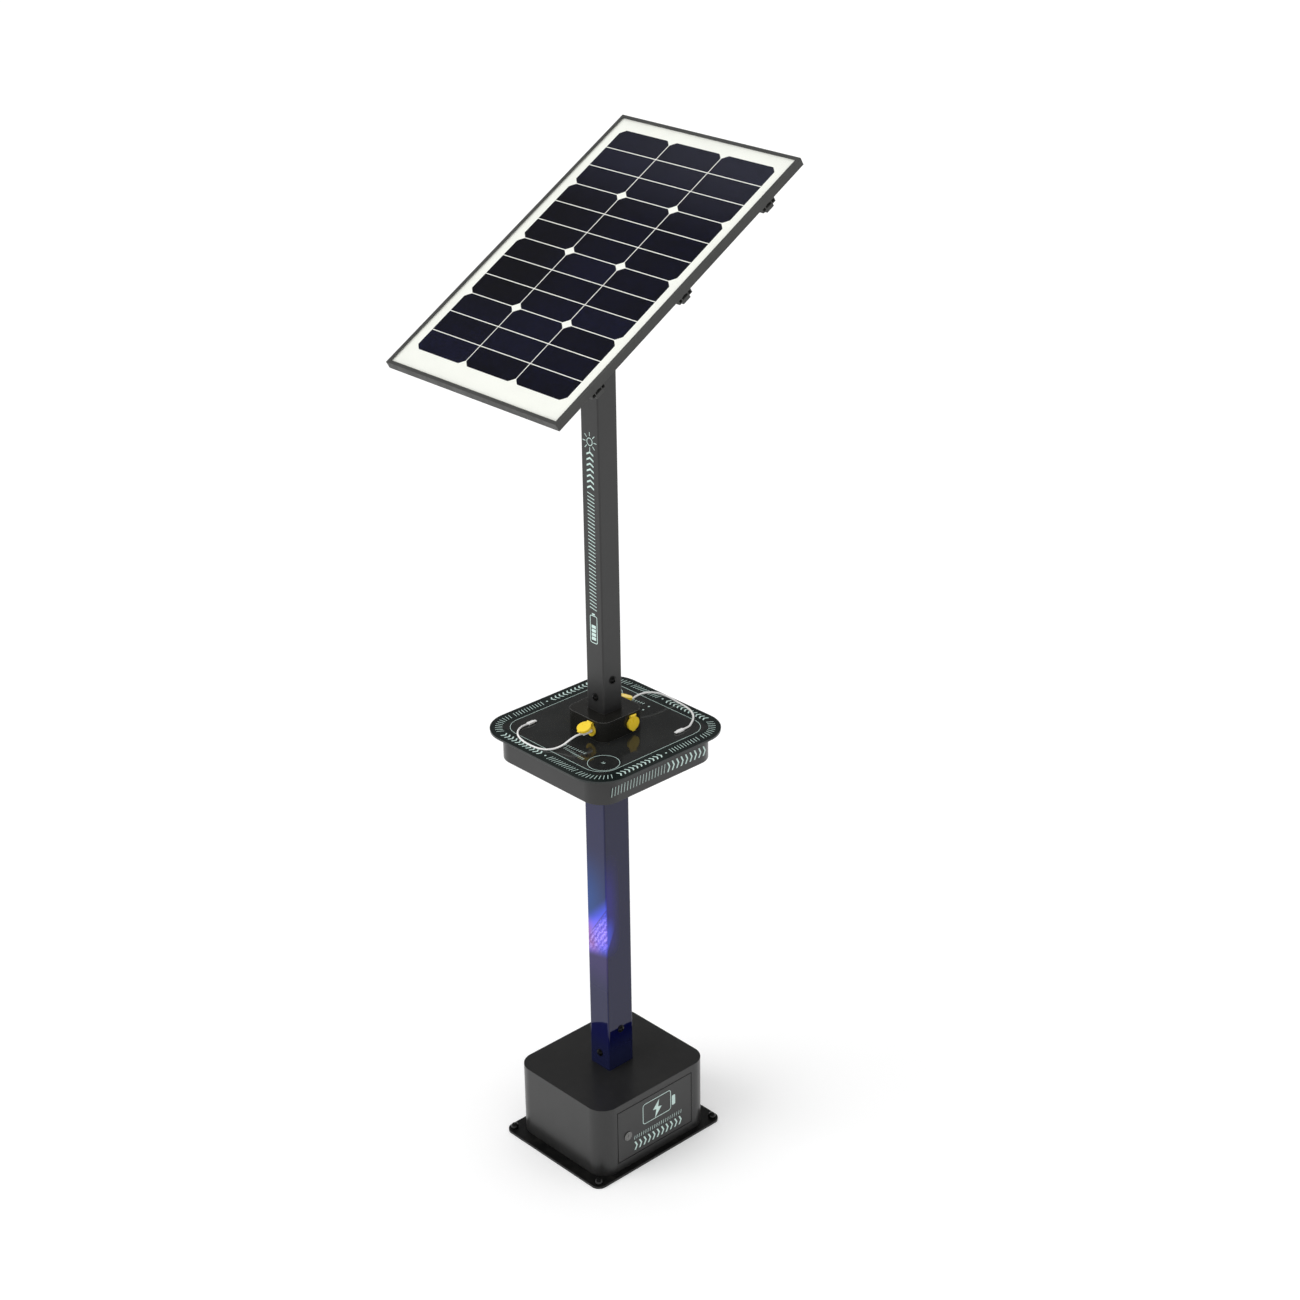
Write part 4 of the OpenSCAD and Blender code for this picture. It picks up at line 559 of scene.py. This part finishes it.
def cellStrips(tree, plain, rough):
    # Panel coordinates: the place less the middle, turned back by the tilt. A hash of column and row tones a
    # strip. Then come a painted reflection that darkens the middle towards the left, the fine fingers, a
    # painted reflection that pales the top towards the right, and a fine mottle
    look = cellNavy
    fromMiddle = {0: ownPlace(tree), 1: look["middle"]}
    place = addNode(tree, "VectorMath", fromMiddle, operation="SUBTRACT").outputs[0]
    untilted = (-math.radians(look["tilt"]), 0, 0)
    place = addNode(tree, "Mapping", {"Vector": place, "Rotation": untilted}).outputs[0]
    u, v, _ = axes(tree, place)
    column = calc(tree, "FLOOR", calc(tree, "ADD", calc(tree, "DIVIDE", u, look["column"]), 0.5))
    row = calc(tree, "FLOOR", calc(tree, "DIVIDE", calc(tree, "SUBTRACT", v, look["shift"]), look["row"]))
    spot = addNode(tree, "CombineXYZ", {0: column, 1: row, 2: look["lightSeed"]}).outputs[0]
    hashed = addNode(tree, "TexWhiteNoise", {"Vector": spot}, noise_dimensions="3D").outputs["Value"]
    # Painted reflection: darker in the middle towards the left, paler at the top
    darkReflection = product(tree, fade(tree, u, *look["darkAcross"]),
                   fade(tree, calc(tree, "ABSOLUTE", v), *look["darkReflectionAlong"]), look["darkShare"])
    fingers = fade(tree, calc(tree, "PINGPONG", u, look["finger"] / 2), *look["fingerRun"])
    top = product(tree, fade(tree, v, *look["paleReflectionAlong"]), fade(tree, u, *look["paleReflectionAcross"]))
    mottle = fade(tree, noise(tree, place, *look["mottleNoise"]), *look["mottleRun"])
    layers = (
        (fade(tree, hashed, *look["lightRun"]), rgba(look["light"])), (darkReflection, rgba(look["darkReflection"])),
        (product(tree, fingers, look["fingerShare"]), rgba(look["fingerTone"])), (top, rgba(look["top"])),
        (product(tree, mottle, look["mottleShare"]), rgba(look["light"], look["mottleTimes"])),
    )
    for share, tone in layers:
        plain = mixColour(tree, share, plain, tone)
    return plain, rough


# Base box: splashed soil dulls its lowest few centimetres
baseSplash = {
    "soil": (0.05, 0.045, 0.04), "height": (0.045, 0.006), "noise": (60.0, 6.0), "patches": (0.3, 0.7),
    "share": 0.08, "rough": 0.15,
}


def baseShade(tree, plain, rough):
    look = baseSplash
    place = ownPlace(tree)
    patches = fade(tree, noise(tree, place, *look["noise"]), *look["patches"])
    splash = product(tree, fade(tree, axes(tree, place)[2], *look["height"]), patches)
    rough = calc(tree, "ADD", rough, product(tree, splash, look["rough"]))
    return mixColour(tree, product(tree, splash, look["share"]), plain, rgba(look["soil"])), rough


paint(makeMaterial("satinBlackPaint", satinBlack),
      "door_panel", "door_frame", "tray_housing", "tray_bottom_cover", "upper_pole", "pole_head")
paint(makeMaterial("portBlockPaint", blockBlack), "port_block")
paint(makeMaterial("baseBlackPaint", satinBlack, baseShade), "base_housing")
paint(makeMaterial("plateBlackPaint", plateBlack), "base_plate", "base_stub", "middle_stub")
paint(makeMaterial("boltBlackFinish", boltBlack), "lower_pole_bolts", "upper_pole_bolts", "pole_bolt_nuts")
paint(makeMaterial("bandedNavyPaint", bandedNavy, lightBand), "lower_pole")
paint(makeMaterial("glossTraySkin", glossTray, trayBorder), "tray_top_plate")
paint(makeMaterial("frameGreyAnodised", frameGrey),
      "frame_ends", "frame_sides", "cross_rails", "panel_spine", "tilt_cradle")
paint(makeMaterial("bareAluminiumFinish", bareAluminium), "frame_corner_keys")
paint(makeMaterial("zincSteelFinish", zincSteel),
      "battery_strap", "clamp_bolts", "cover_pins", "cover_screws", "door_pivot_pins", "lock_barrel",
      "lock_cam", "lock_plug", "panel_bolts", "pivot_bolt", "pivot_nut")
paint(makeMaterial("mouldedBlackPlastic", blackPlastic), "junction_box")
paint(makeMaterial("glossCapPlastic", capBlack), "anchor_caps")
paint(makeMaterial("mouldedGreyPlastic", greyPlastic), "fuse_block", "usb_supply", "wireless_coils")
paint(makeMaterial("controllerCasing", controllerMetal), "charge_controller")
paint(makeMaterial("batteryCasing", batteryCase), "battery")
paint(makeMaterial("doorSealRubber", sealRubber), "door_seal")
paint(makeMaterial("portYellowPlastic", portYellow),
      "port_right", "port_back", "port_left", "port_front",
      "cover_right", "cover_back", "cover_left", "cover_front")
paint(makeMaterial("plugWhitePlastic", plugWhite),
      "front_port_plug", "front_phone_plug", "back_port_plug", "back_phone_plug")
paint(makeMaterial("cellStripFinish", cellNavy, cellStrips), "solar_cells")
paint(makeMaterial("whiteBacksheet", sheetWhite), "panel_backsheet")
for cable in (frontCable, backCable):
    makeMaterial(cable.name, cableWhite, material=cable.data.materials[0])
print("materials placed on", len(nodes), "nodes")


# Faces that carry prints: a point on the face, then the directions u and v along it; w stands out of it
trayFace = {"at": (0, 0, 1.1), "u": (1, 0, 0), "v": (0, 1, 0)}
skirtFace = {"at": (0.181, 0, 0), "u": (0, 1, 0), "v": (0, 0, 1)}
doorFace = {"at": (0.154, 0, 0), "u": (0, 1, 0), "v": (0, 0, 1)}
poleFace = {"at": (0, -0.028, 0), "u": (1, 0, 0), "v": (0, 0, 1)}
printSkin = {"proud": 0.0001, "sunk": 0.00002}
markShapes = {
    "tick": ((-0.5, -0.5), (0.5, -0.5), (0.5, 0.5), (-0.5, 0.5)),
    "chevron": ((-0.5, -0.5), (-0.08, -0.5), (0.5, 0.0), (-0.08, 0.5), (-0.5, 0.5), (0.08, 0.0)),
}


def onFace(points, face):
    # From a face's own (u, v, w) to the part's frame: at + u * U + v * V + w * (U x V)
    u, v = np.asarray(face["u"], float), np.asarray(face["v"], float)
    return np.asarray(face["at"], float) + points @ np.stack([u, v, np.cross(u, v)])


def stamps(shape, centres, angles, wide, tall, lean=0.0):
    # Copies of one outline: scaled by wide and tall, leaned, turned by its angle and set at its centre,
    # each a thin prism from just under the face to just proud of it
    x, y = (np.array(markShapes[shape]) * (wide, tall)).T
    x = x + y * lean
    count, corners = len(centres), len(x)
    cos, sin = np.cos(angles)[:, None], np.sin(angles)[:, None]
    flat = np.stack([x * cos - y * sin, x * sin + y * cos], -1) + centres[:, None]
    low = np.concatenate([flat, np.full((count, corners, 1), -printSkin["sunk"])], -1)
    high = np.concatenate([flat, np.full((count, corners, 1), printSkin["proud"])], -1)
    points = np.concatenate([low, high], 1).reshape(-1, 3)
    i = np.arange(corners)
    j = (i + 1) % corners
    start = np.arange(count)[:, None] * corners * 2
    sides = (np.stack([i, j, j + corners, i + corners], 1)[None] + start[..., None]).reshape(-1, 4).tolist()
    return points, (start + i[::-1]).tolist() + (start + i + corners).tolist() + sides


def ribbon(outline, width):
    # A flat line of that width along a closed outline in the face's own plane
    path = np.column_stack([outline, np.zeros(len(outline))])
    half, low, high = width / 2, -printSkin["sunk"], printSkin["proud"]
    return sweep(path, np.array([(-half, low), (half, low), (half, high), (-half, high)]), closed=True)


def plate(outline):
    # A flat filled form: the outline below and above, closed by its side faces
    count = len(outline)
    low = np.column_stack([outline, np.full(count, -printSkin["sunk"])])
    high = np.column_stack([outline, np.full(count, printSkin["proud"])])
    i = np.arange(count)
    j = (i + 1) % count
    sides = np.stack([i, j, j + count, i + count], 1).tolist()
    return np.vstack([low, high]), [i[::-1].tolist(), (i + count).tolist()] + sides


def roundedSquare(half, radius, across=None, steps=12):
    # Four corner arcs of steps + 1 points each, counterclockwise from the lower right one. Half is half its
    # width, and across is half its height where that differs
    across = across or half
    turn = np.linspace(-np.pi / 2, 0, steps + 1)[None] + np.arange(4)[:, None] * np.pi / 2
    corner = np.array([(1, -1), (1, 1), (-1, 1), (-1, -1)]) * (half - radius, across - radius)
    arc = np.stack([np.cos(turn), np.sin(turn)], -1) * radius
    return (corner[:, None] + arc).reshape(-1, 2)


def roundedBox(box, radius, steps):
    # The same outline between a left, a right, a low and a high edge
    left, right, low, high = box
    middle = np.array([(left + right) / 2, (low + high) / 2])
    return middle + roundedSquare((right - left) / 2, radius, (high - low) / 2, steps)


def squareWalk(s, half, radius):
    # Distance s along the rounded square, from the left end of its front side, to a point and the angle of
    # travel: each quarter is a straight side and an arc, turned by its number of right angles
    straight, arc = 2 * (half - radius), np.pi / 2 * radius
    quarter, rest = np.divmod(s, straight + arc)
    bend = np.clip(rest - straight, 0, arc) / radius
    run = np.minimum(rest, straight) - straight / 2
    x = run + np.sin(bend) * radius
    y = -half + (1 - np.cos(bend)) * radius
    turn = quarter * np.pi / 2
    cos, sin = np.cos(turn), np.sin(turn)
    return np.stack([x * cos - y * sin, x * sin + y * cos], -1), bend + turn


# The ink, pale mint, a little thin here and there
mintInk = {
    "colour": (0.60, 0.78, 0.73), "spread": 0.05, "grain": 1500.0, "broad": 30.0, "rough": 0.4, "bump": 0.05,
    "depth": 0.00005, "round": 0.00005, "thinTone": (0.10, 0.13, 0.12), "thinNoise": (700.0, 4.0, 0.7),
    "thinRun": (0.60, 0.80), "thinShare": 0.35,
}


def thinInk(tree, plain, rough):
    look = mintInk
    thin = fade(tree, noise(tree, ownPlace(tree), *look["thinNoise"]), *look["thinRun"])
    return mixColour(tree, product(tree, thin, look["thinShare"]), plain, rgba(look["thinTone"])), rough


mintPrint = makeMaterial("mintScreenPrint", mintInk, thinInk)


def addPrint(name, shapes, face, body):
    # All the marks of one face are one piece, laid on it from its own plane
    points, faces = joined(shapes)
    return addPiece(name, (onFace(points, face), faces), mintPrint, body)


# Tray print: lengths in metres, distances along the border's path from the left end of the front side.
# A row is its shape, start, end, count, width and lean, and a line of dashes its start, end and count
trayPrint = {
    "innerHalf": 0.1670, "innerRadius": 0.048, "innerLine": 0.0011,
    "borderHalf": 0.1895, "borderRadius": 0.0615, "tall": 0.017,
    "rows": (("chevron", -0.002, 0.120, 11, 0.0092, 0.0), ("tick", 0.153, 0.236, 11, 0.0014, 0.22),
             ("tick", 0.250, 0.330, 10, 0.0014, 0.22)),
    "dot": 0.138, "dotRadius": 0.0024, "dotSides": 16,
    "rings": ((0.127, -0.121), (-0.127, 0.121)), "ringRadius": 0.036, "ringLine": 0.0011, "ringSides": 64,
    "ringMarks": ((-0.003, 0), (0.002, 0)), "ringMarkWide": 0.004, "ringMarkTall": 0.007,
    "dashes": (((0.0036, -0.124), (0.064, -0.120), 9), ((0.0136, -0.1345), (0.081, -0.141), 11),
               ((-0.054, 0.138), (-0.024, 0.1415), 5)),
    "dashWide": 0.0016, "dashTall": 0.007, "dashLean": 0.2,
    "specks": ((-0.004, 0.140), (-0.001, 0.119)), "speckWide": 0.004, "speckTall": 0.005, "speckTurn": 0.2,
}


def addTrayPrint(look):
    # A line just inside the border, on each quarter of the border the same rows and a dot, and on the field
    # two rings with their marks, lines of dashes and two specks
    half, radius = look["borderHalf"], look["borderRadius"]
    quarter = 2 * (half - radius) + np.pi / 2 * radius
    shapes = [ribbon(roundedSquare(look["innerHalf"], look["innerRadius"]), look["innerLine"])]
    for before in np.arange(4) * quarter:
        for shape, start, end, count, wide, lean in look["rows"]:
            at, angle = squareWalk(np.linspace(start, end, count) + before, half, radius)
            shapes.append(stamps(shape, at, angle, wide, look["tall"], lean))
        dot, _ = squareWalk(np.array([look["dot"] + before]), half, radius)
        shapes.append(plate(dot + ringProfile(look["dotRadius"], look["dotSides"])))
    for ring in np.array(look["rings"]):
        shapes.append(ribbon(ring + ringProfile(look["ringRadius"], look["ringSides"]), look["ringLine"]))
        at = ring + look["ringMarks"]
        shapes.append(stamps("chevron", at, np.zeros(len(at)), look["ringMarkWide"], look["ringMarkTall"]))
    for start, end, count in look["dashes"]:
        turn = np.full(count, math.atan2(end[1] - start[1], end[0] - start[0]))
        at = np.linspace(start, end, count)
        shapes.append(stamps("tick", at, turn, look["dashWide"], look["dashTall"], look["dashLean"]))
    specks = np.array(look["specks"])
    turn = np.full(len(specks), look["speckTurn"])
    shapes.append(stamps("tick", specks, turn, look["speckWide"], look["speckTall"]))
    return addPrint("trayPrint", shapes, trayFace, "station")


# Skirt and door prints: a row is its shape, start, end, low, high, count, width and lean, in metres
skirtPrint = {
    "rows": (("tick", -0.146, 0.013, 1.0445, 1.0665, 18, 0.0014, 0.15),
             ("chevron", 0.026, 0.137, 1.0435, 1.0675, 9, 0.0098, 0.0)),
}
doorPrint = {
    "rows": (("tick", -0.071, 0.082, 0.0730, 0.0830, 22, 0.0013, 0.2),
             ("chevron", -0.067, 0.079, 0.0420, 0.0660, 11, 0.0108, 0.0)),
    "case": (-0.043, 0.048, 0.101, 0.157), "caseRadius": 0.007, "caseSteps": 6, "caseLine": 0.0018,
    "nub": (0.052, 0.063, 0.110, 0.138), "nubRadius": 0.003, "nubSteps": 4,
    "bolt": ((0.010, 0.150), (-0.011, 0.127), (0.0005, 0.125), (-0.004, 0.102), (0.018, 0.127),
             (0.0065, 0.1295)),
}


def rowsAcross(rows):
    # Rows that run along a face's first direction
    shapes = []
    for shape, start, end, low, high, count, wide, lean in rows:
        at = np.stack([np.linspace(start, end, count), np.full(count, (low + high) / 2)], 1)
        shapes.append(stamps(shape, at, np.zeros(count), wide, high - low, lean))
    return shapes


def addSkirtPrint(look):
    return addPrint("skirtPrint", rowsAcross(look["rows"]), skirtFace, "station")


def addDoorPrint(look):
    # Two rows under a battery: its outlined case, its nub and a filled bolt
    shapes = rowsAcross(look["rows"])
    shapes.append(ribbon(roundedBox(look["case"], look["caseRadius"], look["caseSteps"]), look["caseLine"]))
    shapes.append(plate(roundedBox(look["nub"], look["nubRadius"], look["nubSteps"])))
    shapes.append(plate(np.array(look["bolt"])))
    return addPrint("doorPrint", shapes, doorFace, "door")


# Pole print: a row is its shape, start, end, count, width and lean, upwards in metres
polePrint = {
    "rows": (("tick", 1.403, 1.505, 13, 0.0018, 0.2), ("tick", 1.515, 1.676, 20, 0.0018, 0.2),
             ("chevron", 1.692, 1.770, 7, 0.0100, 0.0)),
    "tall": 0.022,
    "sun": (0.0, 1.797), "sunRadius": 0.0085, "sunSides": 32, "sunLine": 0.0018, "rays": 8,
    "rayFrom": 0.013, "rayTo": 0.022,
    "level": (0.0, 1.3525), "levelWide": 0.022, "levelTall": 0.066, "levelRadius": 0.004, "levelSteps": 6,
    "levelLine": 0.0018, "cells": 4, "cellsFrom": -0.02244, "cellsTo": 0.0066, "cellWide": 0.01364,
    "cellTall": 0.0075, "capAt": 0.037, "capWide": 0.009, "capTall": 0.004,
}


def addPolePrint(look):
    # Rows that run upwards, a sun above them, and a level under them: an outlined case, cells and a cap
    shapes = []
    for shape, start, end, count, wide, lean in look["rows"]:
        at = np.stack([np.zeros(count), np.linspace(start, end, count)], 1)
        shapes.append(stamps(shape, at, np.full(count, math.pi / 2), wide, look["tall"], lean))
    sun = np.array(look["sun"])
    shapes.append(ribbon(sun + ringProfile(look["sunRadius"], look["sunSides"]), look["sunLine"]))
    turn = np.arange(look["rays"]) * 2 * np.pi / look["rays"]
    rays = sun + ringProfile((look["rayFrom"] + look["rayTo"]) / 2, look["rays"])
    shapes.append(stamps("tick", rays, turn, look["rayTo"] - look["rayFrom"], look["sunLine"]))
    level = np.array(look["level"])
    half, tall = look["levelWide"] / 2, look["levelTall"] / 2
    case = level + roundedSquare(half, look["levelRadius"], tall, look["levelSteps"])
    shapes.append(ribbon(case, look["levelLine"]))
    up = np.linspace(look["cellsFrom"], look["cellsTo"], look["cells"])
    cells = level + np.stack([np.zeros(len(up)), up], 1)
    shapes.append(stamps("tick", cells, np.zeros(len(up)), look["cellWide"], look["cellTall"]))
    cap = level + [[0, look["capAt"]]]
    shapes.append(stamps("tick", cap, np.zeros(1), look["capWide"], look["capTall"]))
    return addPrint("polePrint", shapes, poleFace, "station")


addTrayPrint(trayPrint)
addSkirtPrint(skirtPrint)
addPolePrint(polePrint)
addDoorPrint(doorPrint)
print("prints laid on the tray, skirt, pole and door")


# Panel glass: a clear low-iron pane a hair above the cells, in the panel's own plane, in metres
glassPane = {
    "half": 0.2674, "across": 0.3959, "radius": 0.002, "cornerSteps": 3, "top": -0.00175,
    "bottom": -0.00474, "soften": 0.0004, "tint": (0.985, 0.995, 0.985), "ior": 1.5, "marks": 6.0,
    "marksRough": 0.02, "dust": 30.0, "dustRough": 0.03, "rippleNoise": (35.0, 2.0), "ripple": 0.01,
    "rippleDepth": 0.0003,
}
panelTilt = math.radians(cellNavy["tilt"])
panelFace = {"at": cellNavy["middle"], "u": (1, 0, 0), "v": (0, math.cos(panelTilt), math.sin(panelTilt))}


def makeGlass(look):
    # Shadow, diffuse and glossy rays pass it, so that what lies under it is lit as if bare
    material = bpy.data.materials.new("panelGlassClear")
    tree, shader = openShader(material)
    shader.inputs["Base Color"].default_value = rgba(look["tint"])
    shader.inputs["Transmission Weight"].default_value = 1.0
    shader.inputs["IOR"].default_value = look["ior"]
    marks = useGroup(tree, handMarks, {"Scale": look["marks"]})["Value"]
    dust = useGroup(tree, settledDust, {"Scale": look["dust"]})["Mask"]
    rough = calc(tree, "ADD", fade(tree, marks, 0.0, 1.0, 0.0, look["marksRough"]),
                 product(tree, dust, look["dustRough"]))
    tree.links.new(rough, shader.inputs["Roughness"])
    ripple = noise(tree, ownPlace(tree), *look["rippleNoise"])
    bump = {"Height": ripple, "Strength": look["ripple"], "Distance": look["rippleDepth"]}
    tree.links.new(addNode(tree, "Bump", bump).outputs[0], shader.inputs["Normal"])
    path = addNode(tree, "LightPath").outputs
    passes = calc(tree, "MAXIMUM", path["Is Shadow Ray"], path["Is Diffuse Ray"])
    passes = calc(tree, "MAXIMUM", passes, path["Is Glossy Ray"])
    clear = addNode(tree, "BsdfTransparent").outputs[0]
    mixed = addNode(tree, "MixShader", {0: passes, 1: shader.outputs[0], 2: clear}).outputs[0]
    output = next(n for n in tree.nodes if n.type == "OUTPUT_MATERIAL")
    tree.links.new(mixed, output.inputs["Surface"])
    return material


def addGlassPane(look):
    # Four rings of a rounded outline, each an inset and a height, join as softened edges and sides, and two
    # flat faces close them
    rings = ((look["soften"], look["bottom"]), (0, look["bottom"] + look["soften"]),
             (0, look["top"] - look["soften"]), (look["soften"], look["top"]))
    points = []
    for inset, height in rings:
        half, across = look["half"] - inset, look["across"] - inset
        outline = roundedSquare(half, look["radius"], across, look["cornerSteps"])
        points.append(np.column_stack([outline, np.full(len(outline), height)]))
    count, last = len(points[0]), len(rings) - 1
    i = np.arange(last)[:, None] * count
    j = np.arange(count)[None]
    j2 = (j + 1) % count
    faces = np.stack([i + j, i + j2, i + count + j2, i + count + j], -1).reshape(-1, 4).tolist()
    faces += [list(range(count - 1, -1, -1)), list(range(last * count, (last + 1) * count))]
    pane = addPiece("glassPane", (onFace(np.vstack(points), panelFace), faces), makeGlass(look), "panel")
    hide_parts("panel_glass")
    return pane


addGlassPane(glassPane)
print("glass pane set in the frame")


# Studio: a pale floor, a plain world, one wide soft lamp from the front left. skyFall is the two heights,
# as the sine of the angle above the horizon, between which the mirrored sky darkens, and its two strengths
studio = {
    "floorRadius": 60.0, "floorSides": 96, "floorColour": (0.90, 0.90, 0.90), "floorNoise": (3.0, 3.0),
    "floorDarker": 0.995, "floorRough": 0.9, "floorSpecular": 0.1, "floorGlow": 0.165,
    "skyForDiffuse": 0.80, "skySeen": 1.0, "skyFall": (0.16, 0.38, 1.0, 0.12),
    "lampStrength": 1.45, "lampAngle": 50.0, "lampTowards": (0.35, 0.80, -0.50),
    "lampPlace": (-2.0, -4.0, 5.0),
}


def layFloor(look):
    # A fan of triangles at the ground, whose glow lifts it to white where it is seen or mirrored
    sides = look["floorSides"]
    rim = np.column_stack([ringProfile(look["floorRadius"], sides), np.zeros(sides)])
    material = bpy.data.materials.new("paleFloorPaint")
    tree, shader = openShader(material)
    tone = noise(tree, ownPlace(tree), *look["floorNoise"])
    pale = look["floorColour"]
    tone = mixColour(tree, tone, rgba(pale), rgba(pale, look["floorDarker"]))
    tree.links.new(tone, shader.inputs["Base Color"])
    shader.inputs["Roughness"].default_value = look["floorRough"]
    shader.inputs["Specular IOR Level"].default_value = look["floorSpecular"]
    path = addNode(tree, "LightPath").outputs
    seen = calc(tree, "MAXIMUM", path["Is Camera Ray"], path["Is Glossy Ray"])
    seen = calc(tree, "MAXIMUM", seen, path["Is Transmission Ray"])
    tree.links.new(product(tree, seen, look["floorGlow"]), shader.inputs["Emission Strength"])
    shader.inputs["Emission Color"].default_value = (1, 1, 1, 1)
    faces = [[i, (i + 1) % sides, sides] for i in range(sides)]
    floor = makeObject("paleFloor", (np.vstack([rim, [[0, 0, 0]]]), faces), material)


def lightWorld(look):
    # White where it is seen, even where it lights, and in mirrors dark above the height where it falls off
    world = bpy.data.worlds.new("plainStudio")
    bpy.context.scene.world = world
    world.use_nodes = True
    tree = world.node_tree
    tree.nodes.clear()
    path = addNode(tree, "LightPath").outputs
    height = axes(tree, addNode(tree, "TexCoord").outputs["Generated"])[2]
    mirrored = fade(tree, height, *look["skyFall"])
    strength = mixNumber(tree, path["Is Glossy Ray"], look["skyForDiffuse"], mirrored)
    seen = calc(tree, "MAXIMUM", path["Is Camera Ray"], path["Is Transmission Ray"])
    strength = mixNumber(tree, seen, strength, look["skySeen"])
    sky = addNode(tree, "Background", {"Color": (1, 1, 1, 1), "Strength": strength}).outputs[0]
    tree.links.new(sky, tree.nodes.new("ShaderNodeOutputWorld").inputs[0])


def hangLamp(look):
    # Glossy faces don't mirror its wide disc
    lamp = bpy.data.lights.new("softKey", "SUN")
    lamp.energy = look["lampStrength"]
    lamp.angle = math.radians(look["lampAngle"])
    key = bpy.data.objects.new("softKey", lamp)
    key.rotation_euler = Vector(look["lampTowards"]).to_track_quat("-Z", "Y").to_euler()
    key.location = look["lampPlace"]
    key.visible_glossy = False
    bpy.context.scene.collection.objects.link(key)


layFloor(studio)
lightWorld(studio)
hangLamp(studio)
bpy.context.scene.view_settings.view_transform = "Standard"
print("studio set")
